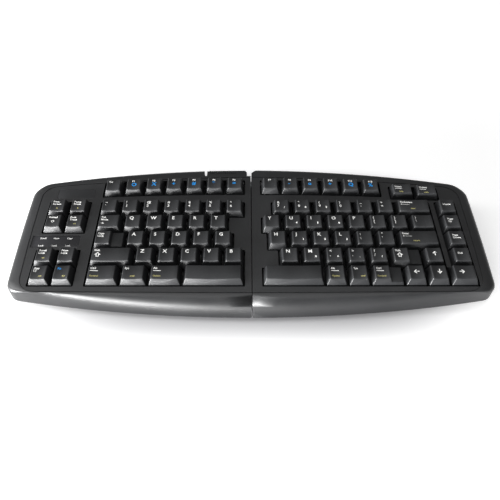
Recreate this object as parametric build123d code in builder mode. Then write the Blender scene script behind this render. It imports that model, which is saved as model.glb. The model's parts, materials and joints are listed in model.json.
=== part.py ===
"""Adjustable split keyboard in two halves, joined by a clamped ball joint at the rear.

The frame stands on the desk at Z = 0, with +X to the user's right and +Y away from the user.
The keys lie on one sloping key plane. A place on that plane is given by its X, its distance
behind the front edge of the number row, and its height or depth square to the plane.
"""

import os
from dataclasses import dataclass, replace
from math import cos, radians, sin, sqrt, tan

from build123d import *

os.makedirs("parts", exist_ok=True)

RIGHT = 1
LEFT = -1

# Key plane
key_pitch = 19.05
key_plane_tilt = 4.0
row_datum_height = 26.0
left_block_start = -139.4
right_block_start = 8.8
side_block_start = -186.6

# Function and edit keys
function_row_setback = 29.05
function_arch_start = 15.0
function_arch_length = 114.0
function_arch_drop = 3.1
insert_setback = 23.2
delete_setback = 22.1
edit_key_depth = 16.3
edit_key_start = 131.1
edit_key_width = 1.2

# Case
foot_height = 1.5
floor_thickness = 2.5
case_wall = 2.2
top_wall = 2.5
seam_gap = 0.8
front_roll_depth = 15.1
edge_roll_depth = 5.0
base_setback = 1.2
well_margin = 0.35
well_corner_radius = 1.2
groove_width = 0.9
groove_depth = 0.6
overrun = 30.0
hollow_edge_inset = 0.5

# Keycaps
cap_height = 5.7
cap_skirt_drop = 2.5
cap_base_gap = 0.85
cap_top_side_inset = 2.95
cap_top_front_inset = 3.55
cap_top_rear_inset = 0.95
cap_front_offset = 0.75
cap_wall = 1.3
cap_top_wall = 1.9
cap_dish = 0.6
cap_low_step = 2.2
key_travel = 3.8
stem_width = 6.0
stem_depth = 5.0
stem_clearance = 0.3
stem_dome_gap = 0.08

# Layers under the keys
deck_clearance = 0.7
deck_thickness = 2.6
stem_reach = 0.7
dome_height = 4.2
dome_radius = 4.6
dome_top_radius = 2.4
dome_sides = 8
dome_sheet_thickness = 0.6
contact_sheet_thickness = 0.4
back_plate_thickness = 0.8
layer_inset = 5.5
layer_rear = 50.0
layer_rear_corner = 36.5
deck_leg_radius = 2.0
deck_leg_columns = (30.0, 103.0, 160.0)
deck_leg_setbacks = (-57.15, 0.0)
hinge_bay_half_length = 48.0
hinge_bay_front = 46.5

# Base
rib_thickness = 1.6
rib_columns = (12.0, 55.0, 98.0, 141.0, 184.0)
rib_setbacks = (-60.0, -22.0, 16.0)
rib_front = -78.0
rib_rear = 44.4
rim_height = 2.0
rim_thickness = 1.4
rim_fit = 0.4
deck_rail_front = -79.3
deck_rail_width = 1.2
deck_rail_start = 12.0
deck_rail_end = 184.0

# Ball joint and lever
pivot_setback = 56.6
pivot_height = 9.5
ball_radius = 5.0
liner_thickness = 1.0
joint_clearance = 0.06
cup_wall = 1.7
cup_clearance = 0.3
right_pocket_clearance = 0.7
neck_radius = 2.2
neck_length = 9.0
anchor_end = 22.0
anchor_half_depth = 4.8
anchor_top = 15.0
splay_range = 30.0
tent_range = 30.0
notch_half_angle = 40.0
undercut_margin = 3.5
liner_opening_angle = 44.0
cup_opening_angle = 47.0
housing_start = 6.0
housing_end = 24.0
housing_front = 6.5
housing_rear = 5.5
housing_top = 17.0
housing_gap = 0.5
jaw_radius = 4.4
jaw_back = 13.0
jaw_bore_end = 22.0
jaw_clearance = 0.09
jaw_stem_radius = 1.5
jaw_stem_end = 27.0
jaw_head_radius = 2.8
jaw_head_thickness = 1.5
stem_hole_clearance = 0.3
spring_radius = 3.6
spring_waist_radius = 2.3
spring_turns = 4
spring_gap = 0.1
lever_start = 4.0
lever_end = 43.0
lever_front = 53.5
lever_bottom = 17.5
lever_drop = 1.5
lever_skin = 1.5
lever_inset = 0.3
lever_notch_gap = 0.8
lever_pin_x = 10.0
lever_pin_front = 3.0
lever_pin_radius = 1.6
lever_pin_clearance = 0.05
lever_pin_foot = 13.8
lever_hub_radius = 3.5
fork_start = 25.0
fork_thickness = 1.6
fork_front = 5.0
fork_rear = 5.4
fork_bottom = 6.5
slot_front = 2.0
slot_rear = 4.6
slot_half_height = 1.85
lever_bay_end = 45.5
lever_bay_front = 53.2
lever_bay_floor = 17.2
lip_front = 48.4
lip_thickness = 1.1

# Screws, feet and cord outlet
screw_radius = 1.4
screw_head_radius = 2.7
screw_head_height = 1.6
screw_head_sink = 0.3
screw_length = 10.0
screw_fit = 0.05
head_fit = 0.2
boss_radius = 3.2
boss_foot = 6.5
boss_gap = 0.1
cup_radius = 4.2
front_screws = ((20.0, -88.0), (100.0, -86.0))
side_screws = ((197.4, -62.0), (198.3, 4.0))
left_rear_screws = ((60.0, 54.5), (110.0, 51.4))
right_rear_screws = ((30.0, 54.5), (110.0, 51.4))
foot_radius = 6.5
foot_recess = 0.7
foot_fit = 0.1
foot_places = ((42.0, -84.0), (184.0, -71.0), (184.0, 26.0), (80.0, 46.0))
gland_x = -70.0
gland_height = 13.0
gland_face = 77.2
gland_radius = 4.0
gland_bore_radius = 2.3
gland_flange_radius = 5.5
gland_flange_thickness = 1.4
gland_reach = 6.0
gland_fit = 0.05
flange_fit = 0.2

# Badge, indicator window and electronics
badge_start = -181.7
badge_end = -147.2
badge_front = 22.7
badge_rear = 34.3
badge_thickness = 0.8
badge_sink = 0.1
badge_corner_radius = 1.5
window_start = -193.3
window_end = -151.4
window_front = -36.9
window_rear = -22.7
window_thickness = 1.2
window_sink = 0.4
window_corner_radius = 1.2
plate_fit = 0.1
lamp_radius = 1.5
lamp_hole_radius = 1.7
lamp_depth = 2.6
lamp_columns = (-184.0, -172.3, -160.6)
lamp_setback = -29.8
board_start = -120.0
board_end = -60.0
board_front = 22.0
board_rear = 44.0
board_bottom = 6.0
board_thickness = 1.6
board_margin = 2.0
board_post_radius = 2.0
board_post_inset = 3.5
chip_width = 9.0
chip_height = 1.3
socket_width = 14.0
socket_depth = 5.0
socket_height = 2.6

# Levels square to the key plane, as depths below it
deck_top = cap_skirt_drop + key_travel + deck_clearance
deck_bottom = deck_top + deck_thickness
stem_end = deck_bottom + stem_reach
dome_top = stem_end + stem_dome_gap
dome_sheet_top = dome_top + dome_height
contact_sheet_top = dome_sheet_top + dome_sheet_thickness
back_plate_top = contact_sheet_top + contact_sheet_thickness
back_plate_bottom = back_plate_top + back_plate_thickness

parting_height = foot_height + floor_thickness


@dataclass(frozen=True)
class Outline:
    """Corners and bows of one half's outline on the key plane, for the right half."""

    front_y: float
    front_corner: tuple
    rear_corner: tuple
    rear_y: float
    front_bow: float
    side_bow: float
    rear_bow: float
    front_radius: float
    rear_radius: float

    def towards(self, other, side_share, front_share):
        """Gives the outline part of the way to another one."""

        def mix(own, far, share):
            return own + (far - own) * share

        return Outline(
            front_y=mix(self.front_y, other.front_y, front_share),
            front_corner=(
                mix(self.front_corner[0], other.front_corner[0], side_share),
                mix(self.front_corner[1], other.front_corner[1], front_share),
            ),
            rear_corner=(
                mix(self.rear_corner[0], other.rear_corner[0], side_share),
                mix(self.rear_corner[1], other.rear_corner[1], side_share),
            ),
            rear_y=mix(self.rear_y, other.rear_y, side_share),
            front_bow=mix(self.front_bow, other.front_bow, front_share),
            side_bow=mix(self.side_bow, other.side_bow, side_share),
            rear_bow=mix(self.rear_bow, other.rear_bow, side_share),
            front_radius=mix(self.front_radius, other.front_radius, front_share),
            rear_radius=mix(self.rear_radius, other.rear_radius, side_share),
        )

    def inset(self, wall):
        """Gives the outline moved inwards by a wall."""
        return Outline(
            front_y=self.front_y + wall,
            front_corner=(self.front_corner[0] - wall, self.front_corner[1] + wall),
            rear_corner=(self.rear_corner[0] - wall, self.rear_corner[1] - wall),
            rear_y=self.rear_y - wall,
            front_bow=self.front_bow,
            side_bow=self.side_bow,
            rear_bow=self.rear_bow,
            front_radius=self.front_radius - wall,
            rear_radius=self.rear_radius - wall,
        )


flat_top = Outline(
    front_y=-84.9,
    front_corner=(194.0, -83.2),
    rear_corner=(197.0, 39.5),
    rear_y=58.5,
    front_bow=0.3,
    side_bow=1.0,
    rear_bow=5.0,
    front_radius=15.0,
    rear_radius=15.0,
)
foot_line = Outline(
    front_y=-98.3,
    front_corner=(204.5, -79.5),
    rear_corner=(206.4, 42.0),
    rear_y=64.3,
    front_bow=4.6,
    side_bow=0.9,
    rear_bow=5.0,
    front_radius=10.0,
    rear_radius=18.0,
)
groove_line = Outline(
    front_y=-84.3,
    front_corner=(193.4, -82.6),
    rear_corner=(196.3, 37.5),
    rear_y=52.4,
    front_bow=0.3,
    side_bow=1.0,
    rear_bow=3.5,
    front_radius=15.0,
    rear_radius=15.0,
)

# The origin lies under the middle of the keyboard's depth.
tilt_sine = sin(radians(key_plane_tilt))
tilt_cosine = cos(radians(key_plane_tilt))
front_reach = -foot_line.front_y * tilt_cosine - front_roll_depth * tilt_sine
rear_depth = (row_datum_height + foot_line.rear_y * tilt_sine - parting_height) / tilt_cosine
rear_reach = foot_line.rear_y * tilt_cosine + rear_depth * tilt_sine
datum_y = (front_reach - rear_reach) / 2

key_plane = Plane(
    origin=(0, datum_y, row_datum_height),
    x_dir=(1, 0, 0),
    z_dir=(0, -tilt_sine, tilt_cosine),
)
pivot_y = datum_y + pivot_setback
pivot = Vector(0, pivot_y, pivot_height)
floor_plane = Plane.XY.offset(parting_height)
roll_section_shares = (0, 0.035, 0.1, 0.2, 0.33, 0.6, 1)

# The tent axis runs from the ball's centre to the foot of the seam at the front.
tent_front = Vector(0, datum_y - front_reach, parting_height)
tent_direction = (pivot - tent_front).normalized()
tent_plane = Plane(origin=pivot, x_dir=(1, 0, 0), z_dir=-tent_direction)

# Radii about the ball's centre
liner_inner = ball_radius + joint_clearance
liner_outer = liner_inner + liner_thickness
cup_inner = liner_outer + joint_clearance
cup_outer = cup_inner + cup_wall


def finish(block, name):
    """Labels a finished piece and writes its file."""
    block.part.label = name
    export_step(block.part, f"parts/{name}.step")


def key_point(x, setback, depth):
    """Gives the place in the frame of a point under the key plane."""
    return key_plane.from_local_coords(Vector(x, setback, -depth))


def bowed_arc(start, end, bow, side):
    """Makes an arc whose middle lies a bow to the right of the way from start to end."""
    along = Vector(end[0] - start[0], end[1] - start[1])
    out = Vector(along.Y, -along.X).normalized() * bow
    middle = ((start[0] + end[0]) / 2 + out.X, (start[1] + end[1]) / 2 + out.Y)
    ThreePointArc((start[0] * side, start[1]), (middle[0] * side, middle[1]), (end[0] * side, end[1]))


def outline_sketch(outline, side, depth, seam_x=seam_gap / 2):
    """Draws the outline with its round outer corners, at a depth under the key plane."""
    with BuildSketch(key_plane.offset(-depth)) as sketch:
        with BuildLine():
            bowed_arc((seam_x, outline.front_y), outline.front_corner, outline.front_bow, side)
            bowed_arc(outline.front_corner, outline.rear_corner, outline.side_bow, side)
            bowed_arc(outline.rear_corner, (seam_x, outline.rear_y), outline.rear_bow, side)
            Line((seam_x * side, outline.rear_y), (seam_x * side, outline.front_y))
        make_face()
        outer = sketch.vertices().sort_by(Axis.X)
        corners = outer[-2:] if side == RIGHT else outer[:2]
        front, rear = corners.sort_by(Axis.Y)
        fillet(front, outline.front_radius)
        rear = sketch.vertices().sort_by_distance(rear)[0]
        fillet(rear, outline.rear_radius)
    return sketch.sketch


def roll_share(depth, roll_depth):
    """Gives how far out a quarter-round edge has come at a depth."""
    left = max(1 - depth / roll_depth, 0)
    return sqrt(1 - left**2)


def case_form(side, flat, foot, top_depth, seam_x, ruled=True):
    """Makes a case half's form: edges that roll over from the flat top to upright walls."""
    roll = front_roll_depth - top_depth
    sections = []
    for share in roll_section_shares:
        depth = share * roll
        outline = flat.towards(foot, roll_share(depth, edge_roll_depth), roll_share(depth, roll))
        sections.append(outline_sketch(outline, RIGHT, top_depth + depth, seam_x))
    with BuildPart() as form:
        loft(sections, ruled=ruled)
        extrude(outline_sketch(foot, RIGHT, front_roll_depth, seam_x), amount=-overrun)
    return form.part if side == RIGHT else mirror(form.part, about=Plane.YZ)


def frame_block(x_ends, y_ends, z_ends, mode=Mode.ADD):
    """Adds or cuts a block square to the desk, between its ends."""
    x_low, x_high = sorted(x_ends)
    with BuildSketch(Plane.XY.offset(z_ends[0])) as face:
        with Locations((x_low, y_ends[0])):
            Rectangle(x_high - x_low, y_ends[1] - y_ends[0], align=(Align.MIN, Align.MIN))
    extrude(face.sketch, amount=z_ends[1] - z_ends[0], mode=mode)


def plane_block(x_ends, setbacks, depths, mode=Mode.ADD, corner_radius=0):
    """Adds or cuts a block square to the key plane, between its ends."""
    x_low, x_high = sorted(x_ends)
    with BuildSketch(key_plane.offset(-depths[0])) as face:
        with Locations((x_low, setbacks[0])):
            Rectangle(x_high - x_low, setbacks[1] - setbacks[0], align=(Align.MIN, Align.MIN))
        if corner_radius:
            fillet(face.vertices(), corner_radius)
    extrude(face.sketch, amount=depths[0] - depths[1], mode=mode)


def upright_pins(places, z_ends, radius, mode=Mode.ADD):
    """Adds or cuts upright round pins at places in the frame."""
    with BuildSketch(Plane.XY.offset(z_ends[0])) as face:
        with Locations(*places):
            Circle(radius)
    extrude(face.sketch, amount=z_ends[1] - z_ends[0], mode=mode)


def pivot_sphere(radius, mode=Mode.SUBTRACT):
    """Adds or cuts a sphere about the ball's centre."""
    with Locations(pivot):
        Sphere(radius, mode=mode)


def open_ball(outer, inner, azimuth, elevation, half_angle):
    """Adds a ball, or a hollow one, with a cone cut out of it for the neck to swing in."""
    turned = radians(azimuth)
    raised = radians(elevation)
    way = Vector(cos(raised) * cos(turned), cos(raised) * sin(turned), sin(raised))
    across = Vector(-sin(turned), cos(turned), 0)
    middle = radians((180 + half_angle) / 2)
    edge = (cos(radians(half_angle)), sin(radians(half_angle)))
    bulge = (cos(middle), sin(middle))
    with BuildSketch(Plane(origin=pivot, x_dir=way, z_dir=way.cross(across))) as profile:
        with BuildLine():
            Line((inner * edge[0], inner * edge[1]), (outer * edge[0], outer * edge[1]))
            ThreePointArc(
                (outer * edge[0], outer * edge[1]),
                (outer * bulge[0], outer * bulge[1]),
                (-outer, 0),
            )
            Line((-outer, 0), (-inner, 0))
            if inner:
                ThreePointArc(
                    (-inner, 0),
                    (inner * bulge[0], inner * bulge[1]),
                    (inner * edge[0], inner * edge[1]),
                )
        make_face()
    revolve(profile.sketch, axis=Axis(pivot, way))


def notch_cut(gap):
    """Cuts the upright V notch behind the pivot, with a gap to its walls."""
    apex = pivot_y - gap / sin(radians(notch_half_angle))
    width = overrun * tan(radians(notch_half_angle))
    with BuildSketch(Plane.XY) as notch:
        with BuildLine():
            Polyline((0, apex), (width, apex + overrun), (-width, apex + overrun), close=True)
        make_face()
    extrude(notch.sketch, amount=row_datum_height + overrun, mode=Mode.SUBTRACT)


def tent_undercut(side):
    """Cuts the wedge under the tent axis, so that the halves clear each other when tented."""
    reach = overrun * tan(radians(tent_range / 2 + undercut_margin))
    start = seam_gap / 2
    with BuildSketch(tent_plane) as wedge:
        with BuildLine():
            Polyline(
                (-side * start, 0),
                (side * start, 0),
                (side * (start + reach), -overrun),
                (-side * start, -overrun),
                close=True,
            )
        make_face()
    extrude(wedge.sketch, amount=front_reach + rear_reach, both=True, mode=Mode.SUBTRACT)


def seam_cuts(side):
    """Cuts what lets one half splay and tent against the other."""
    notch_cut(0)
    tent_undercut(side)
    pivot_sphere(cup_outer + (cup_clearance if side == LEFT else right_pocket_clearance))


@dataclass(frozen=True)
class Key:
    """One keycap: its cell's left edge and width in pitches, and its row."""

    column: float
    row: int
    width: float = 1.0
    raised: float = 0.0
    setback: float = None
    depth: float = key_pitch


def key_run(first, count, row):
    """Gives a run of single keys, side by side in one row."""
    return [Key(first + place, row) for place in range(count)]


def function_setback(x):
    """Gives how far back the function keys stand, a shallow arch over the halves."""
    reach = (abs(x) - function_arch_start) / function_arch_length
    return function_row_setback - function_arch_drop * reach**2


FUNCTION_ROW = -1

left_keys = {
    "escape_key": [Key(0, FUNCTION_ROW)],
    "f1_to_f6_keys": key_run(1, 6, FUNCTION_ROW),
    "left_number_keys": key_run(0, 7, 0),
    "tab_key": [Key(0, 1, 1.25)],
    "qwert_keys": key_run(1.25, 5, 1),
    "caps_lock_key": [Key(0, 2, 1.5, raised=1.0)],
    "asdfg_keys": key_run(1.5, 5, 2),
    "left_shift_key": [Key(0, 3, 2)],
    "zxcvb_keys": key_run(2, 5, 3),
    "left_control_key": [Key(0, 4, 1.5)],
    "left_system_key": [Key(1.5, 4, 1.25)],
    "left_alt_key": [Key(2.75, 4, 1.5)],
    "left_space_key": [Key(4.25, 4, 2.75)],
}
side_keys = {
    "upper_side_keys": key_run(0, 2, 0) + key_run(0, 2, 1),
    "lower_side_keys": key_run(0, 2, 3) + key_run(0, 2, 4),
}
right_keys = {
    "f7_to_f12_keys": key_run(0, 6, FUNCTION_ROW),
    "right_number_keys": key_run(0.5, 6, 0),
    "backspace_key": [Key(6.5, 0, 1.75)],
    "yuiop_keys": key_run(0, 7, 1),
    "backslash_key": [Key(7, 1, 1.25)],
    "hjkl_keys": key_run(0.25, 6, 2),
    "enter_key": [Key(6.25, 2, 2)],
    "nm_keys": key_run(0.75, 5, 3),
    "right_shift_key": [Key(5.75, 3, 1.5, raised=1.0)],
    "right_space_key": [Key(0, 4, 2.75)],
    "right_alt_key": [Key(2.75, 4)],
    "right_system_key": [Key(3.75, 4)],
    "right_control_key": [Key(4.75, 4, 1.5, raised=1.0)],
    "arrow_keys": [Key(7.25, 3), Key(6.25, 4), Key(7.25, 4), Key(8.25, 4, 1.25)],
}
page_keys = {
    "page_keys": [Key(8.5, row) for row in range(4)],
}
edit_keys = {
    "insert_delete_keys": [
        Key(0, FUNCTION_ROW, edit_key_width, setback=insert_setback, depth=edit_key_depth),
        Key(edit_key_width, FUNCTION_ROW, edit_key_width, setback=delete_setback, depth=edit_key_depth),
    ],
}
key_blocks = (
    (LEFT, left_block_start, left_keys),
    (LEFT, side_block_start, side_keys),
    (RIGHT, right_block_start, right_keys),
    (RIGHT, right_block_start, page_keys),
    (RIGHT, edit_key_start, edit_keys),
)


def key_place(start, key):
    """Gives the middle of the cap's width and the setback of its front edge."""
    x = start + (key.column + key.width / 2) * key_pitch
    if key.setback is not None:
        return x, key.setback
    if key.row == FUNCTION_ROW:
        return x, function_setback(x)
    return x, -key.row * key_pitch


def stem_place(key):
    """Gives the middle of the stem from the cap's middle and front edge."""
    width = key.raised or key.width
    return (width - key.width) / 2 * key_pitch, cap_middle(key)


def cap_middle(key):
    """Gives how far the middle of the cap's foot lies behind its front edge."""
    return (key.depth - cap_base_gap) / 2 - cap_front_offset


def cap_section(key, left, right, share, wall, drop):
    """Draws the cap's outline at a share of its height, inside a wall."""
    rise = cap_height + cap_skirt_drop
    x0 = left + cap_top_side_inset * share + wall
    x1 = right - cap_top_side_inset * share - wall
    y0 = cap_top_front_inset * share - cap_front_offset + wall
    y1 = key.depth - cap_base_gap - cap_front_offset - cap_top_rear_inset * share - wall
    with BuildSketch(Plane.XY.offset(rise * share - cap_skirt_drop - drop)) as section:
        with Locations(((x0 + x1) / 2, (y0 + y1) / 2)):
            Rectangle(x1 - x0, y1 - y0)
    return section.sketch


def keycap(key):
    """Makes one keycap with its hollow, dished top and stem, at the key plane's level."""
    half = (key.width * key_pitch - cap_base_gap) / 2
    raised = (key.raised or key.width) * key_pitch - cap_base_gap
    low_share = (cap_low_step + cap_skirt_drop) / (cap_height + cap_skirt_drop)
    stem_x, stem_y = stem_place(key)
    top_width = raised - 2 * cap_top_side_inset
    dish_radius = (top_width**2 / 4 + cap_dish**2) / (2 * cap_dish)
    with BuildPart() as cap:
        if key.raised:
            loft([cap_section(key, -half, half, share, 0, 0) for share in (0, low_share)])
        loft([cap_section(key, -half, raised - half, share, 0, 0) for share in (0, 1)])
        loft(
            [
                cap_section(key, -half, raised - half, 0, cap_wall, 0),
                cap_section(key, -half, raised - half, 1, cap_wall, cap_top_wall),
            ],
            mode=Mode.SUBTRACT,
        )
        with BuildSketch(Plane.XZ):
            with Locations((stem_x, cap_height - cap_dish + dish_radius)):
                Circle(dish_radius)
        extrude(amount=key.depth, both=True, mode=Mode.SUBTRACT)
        with BuildSketch(Plane.XY.offset(-stem_end)):
            with Locations((stem_x, stem_y)):
                Rectangle(stem_width, stem_depth)
        extrude(amount=stem_end + cap_height - cap_top_wall)
    return cap.part


def build_keys():
    """Makes each bank or single key as a node of its own."""
    caps = {}
    for _, start, block in key_blocks:
        for name, keys in block.items():
            placed = []
            for key in keys:
                shape = (key.width, key.raised, key.depth)
                if shape not in caps:
                    caps[shape] = keycap(key)
                x, setback = key_place(start, key)
                placed.append(key_plane.location * Location((x, setback, 0)) * caps[shape])
            with BuildPart() as bank:
                add(placed)
            finish(bank, name)


def half_keys(side):
    """Gives each key of one half with its block's start."""
    for block_side, start, block in key_blocks:
        if block_side == side:
            for keys in block.values():
                for key in keys:
                    yield start, key


def all_stems(side):
    """Gives the place of every stem of one half on the key plane."""
    for start, key in half_keys(side):
        x, setback = key_place(start, key)
        stem_x, stem_y = stem_place(key)
        yield x + stem_x, setback + stem_y


def arched_well(x0, x1, front_of, depth):
    """Draws a well whose front and rear edges follow an arch."""
    places = (x0, (x0 + x1) / 2, x1)
    low = [(x, front_of(x) - cap_front_offset - cap_base_gap / 2 - well_margin) for x in places]
    high = [(x, y + depth + 2 * well_margin) for x, y in low]
    with BuildLine() as edge:
        ThreePointArc(*low)
        Line(low[2], high[2])
        ThreePointArc(*high)
        Line(high[0], low[0])
    make_face(edge.edges())


def edit_setback(x):
    """Gives how far back the edit keys stand: the outer one a little less."""
    middle = edit_key_start + edit_key_width * key_pitch / 2
    share = max((x - middle) / (edit_key_width * key_pitch), 0)
    return insert_setback + (delete_setback - insert_setback) * share


def block_wells(start, block):
    """Draws the wells of one block, a rectangle to each row, or an arch."""
    rows = {}
    for keys in block.values():
        for key in keys:
            rows.setdefault(key.row, []).append(key)
    for row, keys in rows.items():
        keys.sort(key=lambda key: key.column)
        first, last = keys[0], keys[-1]
        x0 = start + first.column * key_pitch - well_margin
        x1 = start + (last.column + last.width) * key_pitch + well_margin
        if row == FUNCTION_ROW:
            front_of = function_setback if first.setback is None else edit_setback
            arched_well(x0, x1, front_of, first.depth)
        else:
            with Locations(((x0 + x1) / 2, -row * key_pitch + cap_middle(first))):
                Rectangle(x1 - x0, key_pitch + 2 * well_margin)


def key_wells(side):
    """Cuts the stepped key wells through the cover's top wall."""
    with BuildSketch(key_plane) as wells:
        for block_side, start, block in key_blocks:
            if block_side == side:
                block_wells(start, block)
        fillet(wells.vertices(), well_corner_radius)
    extrude(wells.sketch, amount=-2 * top_wall, mode=Mode.SUBTRACT)


def layer_sheet(side, depth, thickness):
    """Makes a flat layer that leaves the hinge bay free."""
    line = flat_top.inset(layer_inset)
    line = replace(line, rear_y=layer_rear, rear_corner=(line.rear_corner[0], layer_rear_corner))
    extrude(outline_sketch(line, side, depth, layer_inset), amount=-thickness)
    bay = (-hinge_bay_half_length, hinge_bay_half_length)
    plane_block(bay, (hinge_bay_front, hinge_bay_front + overrun), (depth, depth + thickness), Mode.SUBTRACT)


def key_deck(side, name):
    """Makes the plate whose square holes guide the key stems, on its short legs."""
    with BuildPart() as deck:
        layer_sheet(side, deck_top, deck_thickness)
        with BuildSketch(key_plane.offset(-deck_top)):
            with Locations(*all_stems(side)):
                Rectangle(stem_width + 2 * stem_clearance, stem_depth + 2 * stem_clearance)
        extrude(amount=-deck_thickness, mode=Mode.SUBTRACT)
        with BuildSketch(key_plane.offset(-deck_bottom)):
            with Locations(*[(side * x, y) for x in deck_leg_columns for y in deck_leg_setbacks]):
                Circle(deck_leg_radius)
        extrude(amount=deck_bottom - dome_sheet_top)
    finish(deck, name)


def dome_sheet(side, name):
    """Makes the rubber sheet with one dome under each stem."""
    with BuildPart() as dome:
        with BuildSketch(Plane.XY):
            RegularPolygon(dome_radius, dome_sides)
        with BuildSketch(Plane.XY.offset(dome_height)):
            RegularPolygon(dome_top_radius, dome_sides)
        loft()
    seat = key_plane.offset(-dome_sheet_top).location
    placed = [seat * Location((x, y, 0)) * dome.part for x, y in all_stems(side)]
    with BuildPart() as sheet:
        layer_sheet(side, dome_sheet_top, dome_sheet_thickness)
        add(placed)
    finish(sheet, name)


def plain_layer(side, depth, thickness, name):
    """Makes a layer with no holes: the contact sheet or the back plate."""
    with BuildPart() as layer:
        layer_sheet(side, depth, thickness)
    finish(layer, name)


def screw_places(side):
    """Gives the places of one half's case screws in the frame."""
    rear = left_rear_screws if side == LEFT else right_rear_screws
    places = front_screws + side_screws + rear
    return [(side * x, key_point(0, setback, deck_bottom).Y) for x, setback in places]


def pad_places(side):
    """Gives the places of one half's rubber feet in the frame."""
    return [(side * x, datum_y + setback) for x, setback in foot_places]


def cover_hollow(side):
    """Makes the room inside a cover, less the screw bosses and the rail that holds the deck."""
    flat = flat_top.inset(hollow_edge_inset)
    room = case_form(side, flat, foot_line.inset(case_wall), top_wall, seam_gap / 2 + case_wall)
    with BuildPart() as hollow:
        add(room)
        upright_pins(screw_places(side), (boss_foot, boss_foot + overrun), boss_radius, Mode.SUBTRACT)
        rail = (side * deck_rail_start, side * deck_rail_end)
        ends = (deck_rail_front, deck_rail_front + deck_rail_width)
        plane_block(rail, ends, (0, deck_top), Mode.SUBTRACT)
    return hollow.part


def groove(side):
    """Cuts the thin groove that runs round the flat top."""
    outer = outline_sketch(groove_line, side, 0, -overrun)
    inner = outline_sketch(groove_line.inset(groove_width), side, 0, -overrun)
    extrude(outer - inner, amount=-groove_depth, mode=Mode.SUBTRACT)


def housing_room():
    """Gives the front and rear of the room for the clamp housing."""
    return pivot_y - housing_front - housing_gap, pivot_y + housing_rear + housing_gap


def left_cover_cuts():
    """Cuts the lever bay, the room for the clamp, the window and badge seats and the gland hole."""
    rear = datum_y + rear_reach + overrun
    bay_front = key_point(0, lever_bay_front, 0).Y
    top = row_datum_height + overrun
    frame_block((-lever_bay_end, overrun), (bay_front, rear), (lever_bay_floor, top), Mode.SUBTRACT)
    pocket = (lip_front, lever_bay_front + overrun)
    plane_block((-lever_bay_end, overrun), pocket, (lip_thickness, deck_top), Mode.SUBTRACT)
    room = (-housing_end - housing_gap, overrun)
    frame_block(room, housing_room(), (0, lever_bay_floor), Mode.SUBTRACT)
    gland_seat(gland_flange_radius + flange_fit, gland_face, gland_face + overrun)
    gland_seat(gland_radius + gland_fit, gland_face - gland_reach, gland_face)
    grow = plate_fit
    badge_depths = (0, badge_sink + badge_thickness)
    badge_x = (badge_start - grow, badge_end + grow)
    badge_y = (badge_front - grow, badge_rear + grow)
    plane_block(badge_x, badge_y, badge_depths, Mode.SUBTRACT, badge_corner_radius)
    window_x = (window_start - grow, window_end + grow)
    window_y = (window_front - grow, window_rear + grow)
    window_depths = (0, window_sink + window_thickness)
    plane_block(window_x, window_y, window_depths, Mode.SUBTRACT, window_corner_radius)
    lamp_pins(0, 2 * top_wall, lamp_hole_radius, Mode.SUBTRACT)


def gland_plane(y):
    """Gives the upright plane across the cord outlet at a place along Y."""
    return Plane(origin=(gland_x, y, gland_height), z_dir=(0, 1, 0))


def gland_seat(radius, y_low, y_high):
    """Cuts a round hole along Y for the cord outlet."""
    with BuildSketch(gland_plane(y_low)) as hole:
        Circle(radius)
    extrude(hole.sketch, amount=y_high - y_low, mode=Mode.SUBTRACT)


def lamp_pins(top_depth, bottom_depth, radius, mode=Mode.ADD):
    """Adds or cuts the three round lamps or their holes."""
    with BuildSketch(key_plane.offset(-top_depth)) as lamps:
        with Locations(*[(x, lamp_setback) for x in lamp_columns]):
            Circle(radius)
    extrude(lamps.sketch, amount=top_depth - bottom_depth, mode=mode)


def top_cover(side, name):
    """Makes the moulded shell of one half, with its key wells."""
    hollow = cover_hollow(side)
    form = case_form(side, flat_top, foot_line, 0, seam_gap / 2)
    with BuildPart() as cover:
        add(form)
        add(hollow, mode=Mode.SUBTRACT)
        split(bisect_by=floor_plane, keep=Keep.TOP)
        key_wells(side)
        groove(side)
        seam_cuts(side)
        pilot = (boss_foot, parting_height + screw_length)
        upright_pins(screw_places(side), pilot, screw_radius + screw_fit, Mode.SUBTRACT)
        if side == LEFT:
            left_cover_cuts()
    finish(cover, name)


def base_ribs(side):
    """Adds the ribs that carry the back plate."""
    rear = key_point(0, rib_rear, 0).Y
    front = key_point(0, rib_front, 0).Y
    ends = (side * rib_columns[0], side * rib_columns[-1])
    with BuildPart() as ribs:
        for x in rib_columns:
            frame_block((side * x, side * (x + rib_thickness)), (front, rear), (foot_height, overrun))
        for setback in rib_setbacks:
            place = datum_y + setback
            frame_block(ends, (place, place + rib_thickness), (foot_height, overrun))
        split(bisect_by=key_plane.offset(-back_plate_bottom), keep=Keep.BOTTOM)
        if side == LEFT:
            bay_x = (board_start - board_margin, board_end + board_margin)
            bay_y = (datum_y + board_front - board_margin, datum_y + board_rear + board_margin)
            frame_block(bay_x, bay_y, (parting_height, overrun), Mode.SUBTRACT)
    return ribs.part


def base_rim(side):
    """Makes the upright rim that locates the base inside the cover."""
    wall = case_wall + rim_fit
    outer = foot_line.inset(wall)
    inner = outer.inset(rim_thickness)
    seam = seam_gap / 2 + wall
    with BuildPart() as rim:
        extrude(outline_sketch(outer, side, front_roll_depth, seam), amount=-overrun)
        core = outline_sketch(inner, side, front_roll_depth, seam + rim_thickness)
        extrude(core, amount=-overrun, mode=Mode.SUBTRACT)
        split(bisect_by=floor_plane.offset(rim_height), keep=Keep.BOTTOM)
        split(bisect_by=Plane.XY.offset(foot_height), keep=Keep.TOP)
    return rim.part


def board_posts():
    """Gives the places of the posts that hold the controller board."""
    ends_x = (board_start + board_post_inset, board_end - board_post_inset)
    ends_y = (datum_y + board_front + board_post_inset, datum_y + board_rear - board_post_inset)
    return [(x, y) for x in ends_x for y in ends_y]


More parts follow.
